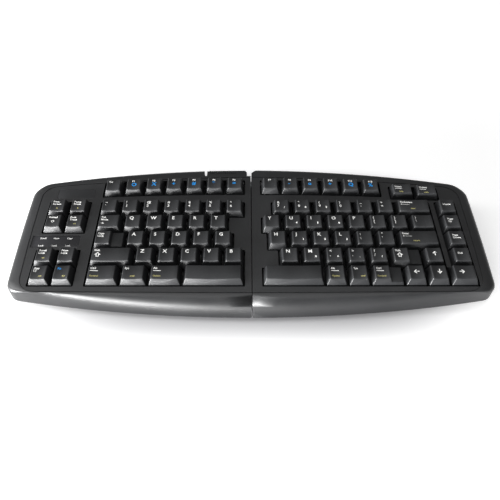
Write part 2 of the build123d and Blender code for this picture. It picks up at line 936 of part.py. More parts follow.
def base(side, name):
    """Makes the bottom shell of one half, with its ribs, screw cups and foot pockets."""
    ribs = base_ribs(side)
    rim = base_rim(side)
    with BuildPart() as bottom:
        floor = outline_sketch(foot_line.inset(base_setback), side, front_roll_depth)
        extrude(floor, amount=-overrun)
        split(bisect_by=floor_plane, keep=Keep.BOTTOM)
        split(bisect_by=Plane.XY.offset(foot_height), keep=Keep.TOP)
        add(rim)
        add(ribs)
        places = screw_places(side)
        upright_pins(places, (foot_height, boss_foot - boss_gap), cup_radius)
        seat = parting_height - screw_head_sink
        upright_pins(places, (foot_height, seat), screw_head_radius + head_fit, Mode.SUBTRACT)
        upright_pins(places, (seat, boss_foot), screw_radius + screw_fit, Mode.SUBTRACT)
        pocket = (foot_height, foot_height + foot_recess)
        upright_pins(pad_places(side), pocket, foot_radius + foot_fit, Mode.SUBTRACT)
        if side == LEFT:
            upright_pins(board_posts(), (parting_height, board_bottom), board_post_radius)
            room = (-housing_end - housing_gap, overrun)
            frame_block(room, housing_room(), (parting_height, lever_bay_floor), Mode.SUBTRACT)
        seam_cuts(side)
    finish(bottom, name)


def case_screws(side, name):
    """Makes the screws that hold one cover to its base."""
    seat = parting_height - screw_head_sink
    with BuildPart() as screws:
        places = screw_places(side)
        upright_pins(places, (seat - screw_head_height, seat), screw_head_radius)
        upright_pins(places, (seat, seat + screw_length), screw_radius)
    finish(screws, name)


def rubber_feet(side, name):
    """Makes the rubber pads the half stands on."""
    with BuildPart() as feet:
        upright_pins(pad_places(side), (0, foot_height + foot_recess), foot_radius)
    finish(feet, name)


def cable_gland(name):
    """Makes the grommet in the rear wall through which the cord leaves."""
    with BuildPart() as gland:
        with BuildSketch(gland_plane(gland_face - gland_reach)):
            Circle(gland_radius)
        extrude(amount=gland_reach)
        with BuildSketch(gland_plane(gland_face)):
            Circle(gland_flange_radius)
        extrude(amount=gland_flange_thickness)
        with BuildSketch(gland_plane(gland_face - gland_reach)):
            Circle(gland_bore_radius)
        extrude(amount=gland_reach + gland_flange_thickness, mode=Mode.SUBTRACT)
    finish(gland, name)


def seat_plate(x_ends, setbacks, sink, thickness, radius, name):
    """Makes a thin plate that lies in a seat in the left cover."""
    with BuildPart() as plate:
        plane_block(x_ends, setbacks, (sink, sink + thickness), corner_radius=radius)
    finish(plate, name)


def indicator_lamps(name):
    """Makes the three lamps that stand on the key deck under the window."""
    with BuildPart() as lamps:
        lamp_pins(lamp_depth, deck_top, lamp_radius)
    finish(lamps, name)


def controller_board(name):
    """Makes the circuit board with its chip and socket."""
    low = datum_y + board_front
    high = datum_y + board_rear
    top = board_bottom + board_thickness
    middle_x = (board_start + board_end) / 2
    with BuildPart() as board:
        frame_block((board_start, board_end), (low, high), (board_bottom, top))
        chip_x = (middle_x - chip_width / 2, middle_x + chip_width / 2)
        chip_y = ((low + high - chip_width) / 2, (low + high + chip_width) / 2)
        frame_block(chip_x, chip_y, (top, top + chip_height))
        socket_x = (board_end - socket_width - board_margin, board_end - board_margin)
        frame_block(socket_x, (high - socket_depth, high), (top, top + socket_height))
    finish(board, name)


def clamp_housing(name):
    """Makes the block with the cup that holds the ball joint and guides the jaw."""
    with BuildPart() as housing:
        ends = (pivot_y - housing_front, pivot_y + housing_rear)
        frame_block((-housing_end, -housing_start), ends, (parting_height, housing_top))
        open_ball(cup_outer, 0, splay_range / 2, -tent_range / 2, cup_opening_angle)
        pivot_sphere(cup_inner)
        axis_rod(-jaw_bore_end, 0, jaw_radius + joint_clearance, Mode.SUBTRACT)
        axis_rod(-housing_end, 0, jaw_stem_radius + stem_hole_clearance, Mode.SUBTRACT)
        pin_rod(lever_pin_foot, housing_top, lever_pin_radius + screw_fit, Mode.SUBTRACT)
    finish(housing, name)


def axis_rod(start, end, radius, mode=Mode.ADD):
    """Adds or cuts a rod along the jaw's line, between two places along X from the pivot."""
    with BuildSketch(Plane(origin=pivot + Vector(start, 0, 0), z_dir=(1, 0, 0))) as rod:
        Circle(radius)
    extrude(rod.sketch, amount=end - start, mode=mode)


def pin_rod(bottom, top, radius, mode=Mode.ADD):
    """Adds or cuts a rod on the lever's axis."""
    upright_pins([(-lever_pin_x, pivot_y - lever_pin_front)], (bottom, top), radius, mode)


def ball_seat(name):
    """Makes the split liner that turns in the cup and in which the ball tilts."""
    with BuildPart() as liner:
        open_ball(liner_outer, liner_inner, 0, -tent_range / 2, liner_opening_angle)
    finish(liner, name)


def hinge_ball(name):
    """Makes the ball with its neck and the anchor that sits in the right half."""
    with BuildPart() as ball:
        ends = (pivot_y - anchor_half_depth, pivot_y + anchor_half_depth)
        frame_block((neck_length, anchor_end), ends, (parting_height, anchor_top))
        neck_start = sqrt(ball_radius**2 - neck_radius**2)
        with BuildSketch(Plane(origin=pivot, x_dir=(1, 0, 0), z_dir=(0, 0, 1))) as profile:
            with BuildLine():
                ThreePointArc((-ball_radius, 0), (0, ball_radius), (neck_start, neck_radius))
                Line((neck_start, neck_radius), (neck_length + neck_radius, neck_radius))
                Line((neck_length + neck_radius, neck_radius), (neck_length + neck_radius, 0))
                Line((neck_length + neck_radius, 0), (-ball_radius, 0))
            make_face()
        revolve(profile.sketch, axis=Axis(pivot, (1, 0, 0)))
    finish(ball, name)


def clamp_jaw(name):
    """Makes the sliding jaw that presses the liner, with its stem and head."""
    with BuildPart() as jaw:
        axis_rod(-jaw_back, 0, jaw_radius)
        pivot_sphere(liner_outer + jaw_clearance)
        axis_rod(-jaw_stem_end, -jaw_back, jaw_stem_radius)
        axis_rod(-jaw_stem_end - jaw_head_thickness, -jaw_stem_end, jaw_head_radius)
    finish(jaw, name)


def clamp_spring(name):
    """Makes the stack of disc springs round the jaw's stem."""
    reach = (jaw_bore_end - jaw_back) / (2 * spring_turns)
    inner = jaw_stem_radius + spring_gap
    thick = spring_waist_radius - inner
    outline = []
    for turn in range(2 * spring_turns + 1):
        radius = spring_radius if turn % 2 else spring_waist_radius
        outline.append((jaw_back + turn * reach, radius))
    hollow = [(x, radius - thick) for x, radius in reversed(outline)]
    with BuildPart() as spring:
        with BuildSketch(Plane(origin=pivot, x_dir=(-1, 0, 0), z_dir=(0, 0, 1))) as wave:
            with BuildLine():
                Polyline(*outline, *hollow, close=True)
            make_face()
        revolve(wave.sketch, axis=Axis(pivot, (1, 0, 0)))
    finish(spring, name)


def lock_lever(name):
    """Makes the squeeze lever that fills its bay in the rear edge, with the fork that draws the jaw."""
    front = key_point(0, lever_front, 0).Y
    rear = datum_y + rear_reach + overrun
    form = case_form(LEFT, flat_top.inset(lever_inset), foot_line.inset(lever_inset), 0, 0, ruled=False)
    with BuildPart() as lever:
        add(form)
        bar = (-lever_end, -lever_start)
        frame_block(bar, (front, rear), (lever_bottom, row_datum_height + overrun), Mode.INTERSECT)
        split(bisect_by=key_plane.offset(-lever_drop), keep=Keep.BOTTOM)
        notch_cut(lever_notch_gap)
        fork = (-fork_start - fork_thickness, -fork_start)
        frame_block(fork, (pivot_y - fork_front, pivot_y + fork_rear), (fork_bottom, lever_bottom))
        slot = (pivot_y - slot_front, pivot_y + slot_rear)
        levels = (pivot_height - slot_half_height, pivot_height + slot_half_height)
        frame_block(fork, slot, levels, Mode.SUBTRACT)
        top = pin_top()
        pin_rod(lever_bottom, top, lever_pin_radius + lever_pin_clearance, Mode.SUBTRACT)
    finish(lever, name)


def pin_top():
    """Gives the height of the lever pin's upper end, a skin under the lever's top."""
    return key_point(0, lever_front, lever_drop + lever_skin).Z


def lever_pin(name):
    """Makes the pin on which the lever turns."""
    with BuildPart() as pin:
        pin_rod(lever_pin_foot, pin_top() - lever_pin_clearance, lever_pin_radius)
    finish(pin, name)


build_keys()
for half, half_name in ((LEFT, "left"), (RIGHT, "right")):
    top_cover(half, half_name + "_top_cover")
    base(half, half_name + "_base")
    key_deck(half, half_name + "_key_deck")
    dome_sheet(half, half_name + "_dome_sheet")
    plain_layer(half, contact_sheet_top, contact_sheet_thickness, half_name + "_contact_sheet")
    plain_layer(half, back_plate_top, back_plate_thickness, half_name + "_back_plate")
    case_screws(half, half_name + "_screws")
    rubber_feet(half, half_name + "_feet")
badge_ends = (badge_start, badge_end)
seat_plate(badge_ends, (badge_front, badge_rear), badge_sink, badge_thickness, badge_corner_radius, "badge_plate")
window_ends = (window_start, window_end)
seat_plate(
    window_ends,
    (window_front, window_rear),
    window_sink,
    window_thickness,
    window_corner_radius,
    "indicator_window",
)
indicator_lamps("indicator_lamps")
controller_board("controller_board")
cable_gland("cable_gland")
clamp_housing("clamp_housing")
ball_seat("ball_seat")
hinge_ball("hinge_ball")
clamp_jaw("clamp_jaw")
clamp_spring("clamp_spring")
lock_lever("lock_lever")
lever_pin("lever_pin")
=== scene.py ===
"""Looks of the adjustable split keyboard: finishes, softened caps, legends, light and camera."""

from __future__ import annotations

import json
import logging
import math
from collections.abc import Callable, Iterable
from dataclasses import dataclass, replace
from enum import Enum

import bmesh
import bpy
from mathutils import Matrix, Vector

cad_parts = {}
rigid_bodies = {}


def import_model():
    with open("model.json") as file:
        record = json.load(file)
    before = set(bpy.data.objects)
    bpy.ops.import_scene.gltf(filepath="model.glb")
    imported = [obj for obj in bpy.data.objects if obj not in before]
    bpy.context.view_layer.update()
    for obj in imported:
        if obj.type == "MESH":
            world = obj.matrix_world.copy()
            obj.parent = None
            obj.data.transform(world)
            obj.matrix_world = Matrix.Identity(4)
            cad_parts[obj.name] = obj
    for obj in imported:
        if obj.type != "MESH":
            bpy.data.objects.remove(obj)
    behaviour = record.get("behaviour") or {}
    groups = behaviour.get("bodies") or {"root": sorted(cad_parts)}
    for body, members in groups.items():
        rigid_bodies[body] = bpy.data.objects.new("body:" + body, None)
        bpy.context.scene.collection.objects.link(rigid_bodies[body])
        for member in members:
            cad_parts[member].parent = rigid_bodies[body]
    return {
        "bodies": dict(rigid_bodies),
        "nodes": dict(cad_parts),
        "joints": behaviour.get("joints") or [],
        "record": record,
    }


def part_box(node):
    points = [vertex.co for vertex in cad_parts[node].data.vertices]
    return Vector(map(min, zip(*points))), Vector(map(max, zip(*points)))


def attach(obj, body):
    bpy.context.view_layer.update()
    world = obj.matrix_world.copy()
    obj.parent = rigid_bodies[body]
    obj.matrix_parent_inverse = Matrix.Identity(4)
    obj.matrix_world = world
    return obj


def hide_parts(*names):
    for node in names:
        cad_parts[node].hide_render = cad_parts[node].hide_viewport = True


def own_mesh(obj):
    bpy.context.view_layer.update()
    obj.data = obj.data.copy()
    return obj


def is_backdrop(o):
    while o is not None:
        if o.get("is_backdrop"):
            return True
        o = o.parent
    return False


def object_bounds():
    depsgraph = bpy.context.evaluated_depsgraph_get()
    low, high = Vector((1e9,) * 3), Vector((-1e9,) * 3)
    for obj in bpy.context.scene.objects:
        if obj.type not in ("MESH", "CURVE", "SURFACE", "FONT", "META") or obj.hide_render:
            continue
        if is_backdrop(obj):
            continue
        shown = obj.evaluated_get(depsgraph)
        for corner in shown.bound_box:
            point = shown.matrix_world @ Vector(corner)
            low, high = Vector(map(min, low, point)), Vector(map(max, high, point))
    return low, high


LOG = logging.getLogger("keyboard")

# Lengths times MM, WELD and SHELL_ROUNDINGS are in metres, the other lengths in mm. GLYPH, RULE and
# BAR_ROUNDING are in shares of the mark's or the bar's size.
MM = 0.001
PITCH = 19.05 * MM
TILT = math.radians(4.0)
DATUM_HEIGHT = 26.0 * MM
PIVOT_SETBACK = 56.6 * MM
CAP_HEIGHT = 5.7 * MM
CAP_DISH = 0.6 * MM
CAP_BASE_GAP = 0.85 * MM
CAP_FRONT_OFFSET = 0.75 * MM
CAP_SIDE_INSET = 2.95 * MM
CAP_FRONT_INSET = 3.55 * MM
CAP_BACK_INSET = 0.95 * MM
CAP_INK_LIFT = 0.05 * MM
PLATE_INK_LIFT = 0.04
SINGLE_HALF_TOP = 5.9
LINE_GAP = 0.8
GLYPH_SIZE = 1.37
GLYPH_WEIGHT = 0.028
RULE_LENGTH = 1.6
RULE_LEVELS = (0.45, 0.72)
RULE_STEPS = 10
FUNCTION_FRONT = 29.05
FUNCTION_SAG = 3.1
FUNCTION_START = 15.0
FUNCTION_REACH = 114.0
WELD = 1e-6
SHEET_THICKNESS = 0.6 * MM
DOME_FOOT = 0.02 * MM
SHELL_ROUNDINGS = {
    "left_top_cover": 0.0,
    "right_top_cover": 0.0,
    "lock_lever": 0.0003,
    "badge_plate": 0.0002,
    "indicator_window": 0.0002,
}
RIDGE_SETBACKS = (59.1, 61.0)
RIDGE_START = -40.0
RIDGE_FOOT = -1.52
LEAD_START = -3.5
LEAD_SETBACK = 5.1
LEAD_FOOT = 1.58
BAR_ROUNDING = 0.22
BAR_SHARP = 50.0
LAMP_PLACES = (("Scroll", -184.0), ("Num", -172.3), ("Caps", -160.6))
LAMP_INDENT = 2.4
COAT_ROUGHNESS = 0.12
ROUGHNESS_SPREAD = 0.06
DRIFT_STOPS = (0.3, 0.7)
WORN_COLOUR = (0.55, 0.56, 0.58, 1)


class Ink(Enum):
    """The printing inks on the caps."""

    WHITE = "white_ink"
    BLUE = "blue_ink"
    YELLOW = "yellow_ink"


@dataclass(frozen=True)
class Finish:
    """How one material looks.

    Args:
        name: The material's name.
        colour: Linear base colour.
        roughness: Middle of the roughness.
        grain_scale: Grains per metre of the surface texture.
        grain_depth: Strength of the bump, 0 to 1.
        variation: Share by which the colour drifts over the surface.
        metallic: 0 for plastic, 1 for metal.
        wear: How much lighter the edges are.
        coat: Strength of a clear gloss over the surface.
        shine: Strength of the mirror light of a plastic.
    """

    name: str
    colour: tuple[float, float, float]
    roughness: float
    grain_scale: float = 1800.0
    grain_depth: float = 0.12
    variation: float = 0.12
    metallic: float = 0.0
    wear: float = 0.04
    coat: float = 0.0
    shine: float = 0.5


@dataclass
class TreeBuilder:
    """Adds nodes to one node tree.

    Args:
        tree: The node tree.
    """

    tree: bpy.types.NodeTree

    def feed(self, node: bpy.types.Node, values: dict) -> None:
        """Sets or links a node's inputs.

        Args:
            node: The node.
            values: A value or a source socket for each input, by name or number.
        """
        for key, value in values.items():
            if isinstance(value, bpy.types.NodeSocket):
                self.tree.links.new(value, node.inputs[key])
            else:
                node.inputs[key].default_value = value

    def node(self, kind: str, values: dict | None = None, **settings: object) -> bpy.types.NodeOutputs:
        """Adds a node.

        Args:
            kind: The node's type.
            values: What its inputs get.
            **settings: Attributes to set.

        Returns:
            The new node's outputs.
        """
        node = self.tree.nodes.new(kind)
        for key, value in settings.items():
            setattr(node, key, value)
        self.feed(node, values or {})
        return node.outputs

    def ramp(self, source: bpy.types.NodeSocket, stops: Iterable) -> bpy.types.NodeSocket:
        """Adds a ramp between two colours.

        Args:
            source: What drives it.
            stops: Place and colour of both ends.

        Returns:
            The socket with the colour.
        """
        node = self.tree.nodes.new("ShaderNodeValToRGB")
        for element, (position, colour) in zip(node.color_ramp.elements, stops):
            element.position = position
            element.color = (*colour, 1)
        self.feed(node, {"Fac": source})
        return node.outputs["Color"]


class GroupBuilder(TreeBuilder):
    """Makes one shader node group with named sockets."""

    def __init__(self, name: str) -> None:
        """Starts an empty group.

        Args:
            name: The group's name.
        """
        super().__init__(bpy.data.node_groups.new(name, "ShaderNodeTree"))
        self.inlet = self.node("NodeGroupInput")
        self.outlet = self.tree.nodes.new("NodeGroupOutput")

    def take(self, name: str, value: float) -> None:
        """Adds a number as an input.

        Args:
            name: The input's name.
            value: Its default value.
        """
        socket = self.tree.interface.new_socket(name, in_out="INPUT", socket_type="NodeSocketFloat")
        socket.default_value = value

    def give(self, name: str, source: bpy.types.NodeSocket, kind: str = "NodeSocketFloat") -> None:
        """Adds an output.

        Args:
            name: The output's name.
            source: The socket that feeds it.
            kind: The socket type.
        """
        self.tree.interface.new_socket(name, in_out="OUTPUT", socket_type=kind)
        self.feed(self.outlet, {name: source})


def grain_group() -> bpy.types.NodeTree:
    """Makes the moulded grain: a bumped normal and a drift for colour and roughness.

    Returns:
        The node group.
    """
    group = GroupBuilder("moulded_grain")
    group.take("Scale", 1800.0)
    group.take("Depth", 0.1)
    place = group.node("ShaderNodeTexCoord")["Object"]
    texture = {"Vector": place, "Scale": group.inlet["Scale"], "Detail": 3.0, "Roughness": 0.6}
    fine = group.node("ShaderNodeTexNoise", texture)
    relief = {"Strength": group.inlet["Depth"], "Distance": 0.00012, "Height": fine["Fac"]}
    group.give("Normal", group.node("ShaderNodeBump", relief)["Normal"], "NodeSocketVector")
    broad = group.node("ShaderNodeTexNoise", {"Vector": place, "Scale": 38.0, "Detail": 4.0})
    group.give("Drift", broad["Fac"])
    return group.tree


def wear_group() -> bpy.types.NodeTree:
    """Makes the edge wear: a mask that is bright where the surface turns sharply.

    Returns:
        The node group.
    """
    group = GroupBuilder("edge_wear")
    group.take("Radius", 0.0004)
    bevel = group.node("ShaderNodeBevel", {"Radius": group.inlet["Radius"]}, samples=4)
    normals = {0: bevel["Normal"], 1: group.node("ShaderNodeNewGeometry")["Normal"]}
    dot = group.node("ShaderNodeVectorMath", normals, operation="DOT_PRODUCT")
    spread = {"Value": dot["Value"], "From Min": 0.99, "From Max": 0.75}
    group.give("Mask", group.node("ShaderNodeMapRange", spread)["Result"])
    return group.tree


def dust_group() -> bpy.types.NodeTree:
    """Makes the fine dust that settles on upward faces.

    Returns:
        The node group.
    """
    group = GroupBuilder("settled_dust")
    group.take("Amount", 0.02)
    place = group.node("ShaderNodeTexCoord")["Object"]
    specks = group.node("ShaderNodeTexNoise", {"Vector": place, "Scale": 900.0, "Detail": 2.0})
    normal = group.node("ShaderNodeNewGeometry")["Normal"]
    rise = group.node("ShaderNodeSeparateXYZ", {"Vector": normal})["Z"]
    up = group.node("ShaderNodeMath", {0: rise, 1: specks["Fac"]}, operation="MULTIPLY", use_clamp=True)
    amount = {0: up["Value"], 1: group.inlet["Amount"]}
    group.give("Mask", group.node("ShaderNodeMath", amount, operation="MULTIPLY")["Value"])
    return group.tree


class Workshop:
    """Makes the materials and keeps the node groups they share."""

    def __init__(self) -> None:
        """Makes the shared node groups."""
        self.grain = grain_group()
        self.wear = wear_group()
        self.dust = dust_group()
        self.made: dict[str, bpy.types.Material] = {}

    def solid(self, finish: Finish) -> bpy.types.Material:
        """Makes a grained, slightly worn material.

        Args:
            finish: How it looks.

        Returns:
            The material.
        """
        if finish.name in self.made:
            return self.made[finish.name]
        material = bpy.data.materials.new(finish.name)
        material.use_nodes = True
        tree = TreeBuilder(material.node_tree)
        texture = {"Scale": finish.grain_scale, "Depth": finish.grain_depth}
        grain = tree.node("ShaderNodeGroup", texture, node_tree=self.grain)
        wear = tree.node("ShaderNodeGroup", node_tree=self.wear)["Mask"]
        dust = tree.node("ShaderNodeGroup", node_tree=self.dust)["Mask"]
        shares = (1 - finish.variation, 1 + finish.variation)
        ends = [[channel * share for channel in finish.colour] for share in shares]
        colour = tree.ramp(grain["Drift"], zip(DRIFT_STOPS, ends))
        share = tree.node("ShaderNodeMath", {0: wear, 1: finish.wear, 2: dust}, operation="MULTIPLY_ADD")
        mixed = {"Factor": share["Value"], "A": colour, "B": WORN_COLOUR}
        dull, gloss = finish.roughness + ROUGHNESS_SPREAD, finish.roughness - ROUGHNESS_SPREAD
        rough = {"Value": grain["Drift"], "To Min": gloss, "To Max": dull}
        looks = {
            "Base Color": tree.node("ShaderNodeMix", mixed, data_type="RGBA")["Result"],
            "Metallic": finish.metallic,
            "Roughness": tree.node("ShaderNodeMapRange", rough)["Result"],
            "Normal": grain["Normal"],
            "Specular IOR Level": finish.shine,
            "Coat Weight": finish.coat,
            "Coat Roughness": COAT_ROUGHNESS,
        }
        tree.feed(material.node_tree.nodes["Principled BSDF"], looks)
        self.made[finish.name] = material
        return material


FINISHES = {
    "case_plastic": Finish("case_charcoal", (0.0075, 0.0078, 0.0085), 0.42, 1500.0, 0.22, shine=0.55),
    "keycap_plastic": Finish("cap_black", (0.015, 0.0155, 0.0165), 0.4, 2600.0, 0.12, shine=0.3),
    "base_plastic": Finish("base_black", (0.012, 0.012, 0.013), 0.55, 1200.0, 0.3),
    "dome_rubber": Finish("dome_silicone", (0.42, 0.43, 0.44), 0.5, 700.0, 0.05),
    "contact_film": Finish("contact_film", (0.5, 0.55, 0.52), 0.2, 300.0, 0.03, coat=0.4),
    "plate_steel": Finish("zinc_steel", (0.5, 0.51, 0.52), 0.32, 1100.0, 0.1, 0.2, metallic=1.0),
    "foot_rubber": Finish("foot_rubber", (0.012, 0.012, 0.012), 0.75, 2200.0, 0.4),
    "badge_plastic": Finish("badge_satin", (0.016, 0.0165, 0.018), 0.3, 2400.0, 0.06, coat=0.2),
    "window_plastic": Finish("window_smoke", (0.012, 0.012, 0.014), 0.22, 2600.0, 0.03, coat=0.3),
    "lamp_plastic": Finish("lamp_green", (0.16, 0.42, 0.14), 0.25, 900.0, 0.05, coat=0.5),
    "board_laminate": Finish("board_green", (0.02, 0.13, 0.05), 0.35, 500.0, 0.1, 0.3, coat=0.3),
    "clamp_alloy": Finish("cast_alloy", (0.28, 0.285, 0.3), 0.42, 900.0, 0.3, metallic=1.0),
    "liner_plastic": Finish("liner_white", (0.6, 0.6, 0.57), 0.4, 1500.0, 0.1),
    "lever_plastic": Finish("lever_charcoal", (0.009, 0.0093, 0.01), 0.4, 1800.0, 0.18),
}
INKS = {
    Ink.WHITE: Finish("white_ink", (0.9, 0.9, 0.88), 0.5, 3000.0, 0.05, 0.05, wear=0.0),
    Ink.BLUE: Finish("blue_ink", (0.0, 0.22, 0.6), 0.5, 3000.0, 0.05, 0.08, wear=0.0),
    Ink.YELLOW: Finish("yellow_ink", (0.42, 0.38, 0.14), 0.5, 3000.0, 0.05, 0.08, wear=0.0),
}


@dataclass(frozen=True)
class Mark:
    """One printed mark on a cap or a plate.

    Args:
        text: What it says.
        x: Its left edge from the middle, in mm.
        y: Its base line from the middle, in mm.
        size: Height of its capitals, in mm.
        ink: The ink it is printed in.
    """

    text: str
    x: float
    y: float
    size: float = 2.6
    ink: Ink = Ink.WHITE


CAPITAL = Mark("", x=-3.5, y=1.6, size=3.5)
CAPITAL_SMALL = Mark("", x=2.2, y=-3.4, size=2.1)
UPPER = Mark("", x=-4.2, y=2.2, size=2.7)
LOWER = Mark("", x=-4.2, y=-2.2, size=2.9)
PAIR_SMALL = Mark("", x=2.0, y=-3.4, size=2.0)
FUNCTION_NUMBER = Mark("", x=-2.2, y=3.0, size=2.1)
FUNCTION_ICON = Mark("", x=-2.4, y=-2.4, size=4.4, ink=Ink.BLUE)


@dataclass(frozen=True)
class Cap:
    """One cap in its block.

    Args:
        column: Left edge of its cell, in pitches.
        row: Its row, -1 for the function row.
        marks: What is printed on it.
        width: Width of its cell, in pitches.
        raised: Width of its raised left part, in pitches, or 0 where all of it is raised.
        setback: Front edge of its cell where no row gives it, in mm.
        depth: Depth of its cell, in mm.
    """

    column: float
    row: int
    marks: tuple[Mark, ...] = ()
    width: float = 1.0
    raised: float = 0.0
    setback: float | None = None
    depth: float = 19.05

    def middle(self, start: float) -> float:
        """Gives the middle of its cell along X.

        Args:
            start: The block's left edge, in metres.

        Returns:
            The place, in metres.
        """
        return start + (self.column + self.width / 2) * PITCH

    def front(self, start: float) -> float:
        """Gives the front edge of its cell.

        Args:
            start: The block's left edge, in metres.

        Returns:
            The setback, in metres.
        """
        if self.setback is not None:
            return self.setback * MM
        return function_setback(self.middle(start)) if self.row < 0 else -self.row * PITCH


def cap_run(first: float, row: int, main: list[tuple[Mark, ...]], small: str, spot: Mark) -> list[Cap]:
    """Makes a run of caps side by side.

    Args:
        first: Column of the first cap.
        row: The row.
        main: The main marks of each cap.
        small: One character more for each cap, or spaces.
        spot: How that character is printed.

    Returns:
        The caps.
    """
    caps = []
    for place, marks in enumerate(main):
        if small[place : place + 1].strip():
            marks += (replace(spot, text=small[place]),)
        caps.append(Cap(first + place, row, marks))
    return caps


def letters(first: float, row: int, text: str, small: str = "") -> list[Cap]:
    """Makes a run of caps with one capital each.

    Args:
        first: Column of the first cap.
        row: The row.
        text: One character for each cap.
        small: One character for each cap's second mark, or spaces.

    Returns:
        The caps.
    """
    main = [(replace(CAPITAL, text=letter),) for letter in text]
    return cap_run(first, row, main, small, CAPITAL_SMALL)


def pairs(first: float, row: int, upper: str, lower: str, small: str = "") -> list[Cap]:
    """Makes a run of caps with one mark above another.

    Args:
        first: Column of the first cap.
        row: The row.
        upper: The upper characters.
        lower: The lower characters.
        small: The third characters, or spaces.

    Returns:
        The caps.
    """
    main = [(replace(UPPER, text=high), replace(LOWER, text=low)) for high, low in zip(upper, lower)]
    return cap_run(first, row, main, small, PAIR_SMALL)


def words(*lines: str, x: float = -4.6, y: float = 3.0, size: float = 2.0) -> tuple[Mark, ...]:
    """Makes small words in lines from the cap's upper left.

    Args:
        *lines: The words of each line.
        x: Their left edge, in mm.
        y: The first base line, in mm.
        size: Their height, in mm.

    Returns:
        The marks.
    """
    return tuple(Mark(line, x, y - place * (size + LINE_GAP), size) for place, line in enumerate(lines))


def function_caps(first: int, start: float, icons: str) -> list[Cap]:
    """Makes function caps with their number and a blue mark.

    Args:
        first: Number of the first.
        start: Column of the first.
        icons: One blue character for each, or a space.

    Returns:
        The caps.
    """
    numbers = range(first, first + len(icons))
    main = [(replace(FUNCTION_NUMBER, text=f"F{number}"),) for number in numbers]
    return cap_run(start, -1, main, icons, FUNCTION_ICON)


def under(text: str, x: float = 0.5) -> Mark:
    """Makes a small yellow mark low on the cap.

    Args:
        text: What it says.
        x: Its left edge, in mm.

    Returns:
        The mark.
    """
    return Mark(text, x, y=-4.6, size=1.6, ink=Ink.YELLOW)


LEFT_CAPS = {
    "escape_key": [Cap(0, -1, words("Esc"))],
    "f1_to_f6_keys": function_caps(1, 1, "OX+#*="),
    "left_number_keys": pairs(0, 0, "~!@#$%^", "`123456"),
    "tab_key": [Cap(0, 1, words("Tab", "Mode") + (Mark("→", -4.4, -4.2, 2.4),), 1.25)],
    "qwert_keys": letters(1.25, 1, "QWERT"),
    "caps_lock_key": [Cap(0, 2, words("Caps", "Lock"), 1.5, 1.0)],
    "asdfg_keys": letters(1.5, 2, "ASDFG"),
    "left_shift_key": [Cap(0, 3, words("Shift") + (Mark("⇧", -4.2, -2.8, 4.2),), 2)],
    "zxcvb_keys": letters(2, 3, "ZXCVB"),
    "left_control_key": [Cap(0, 4, words("Ctrl", "——") + (under("Control", -4.4),), 1.5)],
    "left_system_key": [Cap(1.5, 4, words("Sys") + (under("cmd"),), 1.25)],
    "left_alt_key": [Cap(2.75, 4, words("Alt", "——") + (under("Option", -4.4),), 1.5)],
    "left_space_key": [Cap(4.25, 4, (), 2.75)],
}
SIDE_CAPS = {
    "upper_side_keys": [
        Cap(0, 0, words("Print", "Screen") + (under("A", -0.8),)),
        Cap(1, 0, words("Pause", "Break") + (under("B", -0.8),)),
        Cap(0, 1, words("Reload") + (Mark("○", -2.0, -2.0, 2.4),)),
        Cap(1, 1, words("Back", "Track") + (under("<<", -0.8),)),
    ],
    "lower_side_keys": [
        Cap(0, 3, words("Scroll", "Lock") + (under("on", -0.8),)),
        Cap(1, 3, words("Num", "Lock")),
        Cap(0, 4, words("App", "□") + (under("mn"),)),
        Cap(1, 4, (Mark("Fn", -4.0, 2.6, 2.2, Ink.BLUE), under("Kn", 1.0))),
    ],
}
RIGHT_CAPS = {
    "f7_to_f12_keys": function_caps(7, 0, " -o+Q%"),
    "right_number_keys": pairs(0.5, 0, "&*()_+", "7890-=", "/89   "),
    "backspace_key": [Cap(6.5, 0, words("Backspace", "←——") + (under("clear", 4.0),), 1.75)],
    "yuiop_keys": letters(0, 1, "YUIOP", " 456 ") + pairs(5, 1, "{}", "[]"),
    "backslash_key": [Cap(7, 1, (Mark("|", -4.0, 2.9, 2.2), Mark("\\", -4.0, -1.2, 2.3)), 1.25)],
    "hjkl_keys": letters(0.25, 2, "HJKL", " 123") + pairs(4.25, 2, ':"', ";'"),
    "enter_key": [Cap(6.25, 2, words("Enter", "←——") + (under("return", 4.0),), 2)],
    "nm_keys": letters(0.75, 3, "NM", " 0") + pairs(2.75, 3, "<>?", ",./", "=./"),
    "right_shift_key": [Cap(5.75, 3, words("Shift") + (Mark("⇧", -4.0, -2.8, 4.2),), 1.5, 1.0)],
    "right_space_key": [Cap(0, 4, (), 2.75)],
    "right_alt_key": [Cap(2.75, 4, words("Alt", "——") + (under("Option", -4.4),))],
    "right_system_key": [Cap(3.75, 4, words("Sys") + (under("cmd"),))],
    "right_control_key": [Cap(4.75, 4, words("Ctrl", "——") + (under("Control", -4.4),), 1.5, 1.0)],
    "arrow_keys": [
        Cap(7.25, 3, (Mark("↑", -1.8, -1.2, 4.2),)),
        Cap(6.25, 4, (Mark("←", -2.4, -1.2, 4.2),)),
        Cap(7.25, 4, (Mark("↓", -1.8, -1.2, 4.2),)),
        Cap(8.25, 4, (Mark("→", -2.4, -1.2, 4.2),), 1.25),
    ],
    "page_keys": [
        Cap(8.5, 0, words("Home", x=-3.6, y=0.4)),
        Cap(8.5, 1, words("Page", "Up", y=1.4, x=-3.6)),
        Cap(8.5, 2, words("Page", "Down", y=1.4, x=-3.6)),
        Cap(8.5, 3, words("End", x=-3.6, y=0.4)),
    ],
}
EDIT_CAPS = {
    "insert_delete_keys": [
        Cap(column, -1, words(name, "——", y=1.4) + (under(small, -1.0),), 1.2, setback=setback, depth=16.3)
        for column, name, small, setback in ((0, "Insert", "help", 23.2), (1.2, "Delete", "undo", 22.1))
    ],
}
BLOCKS = ((-139.4, LEFT_CAPS), (-186.6, SIDE_CAPS), (8.8, RIGHT_CAPS), (131.1, EDIT_CAPS))


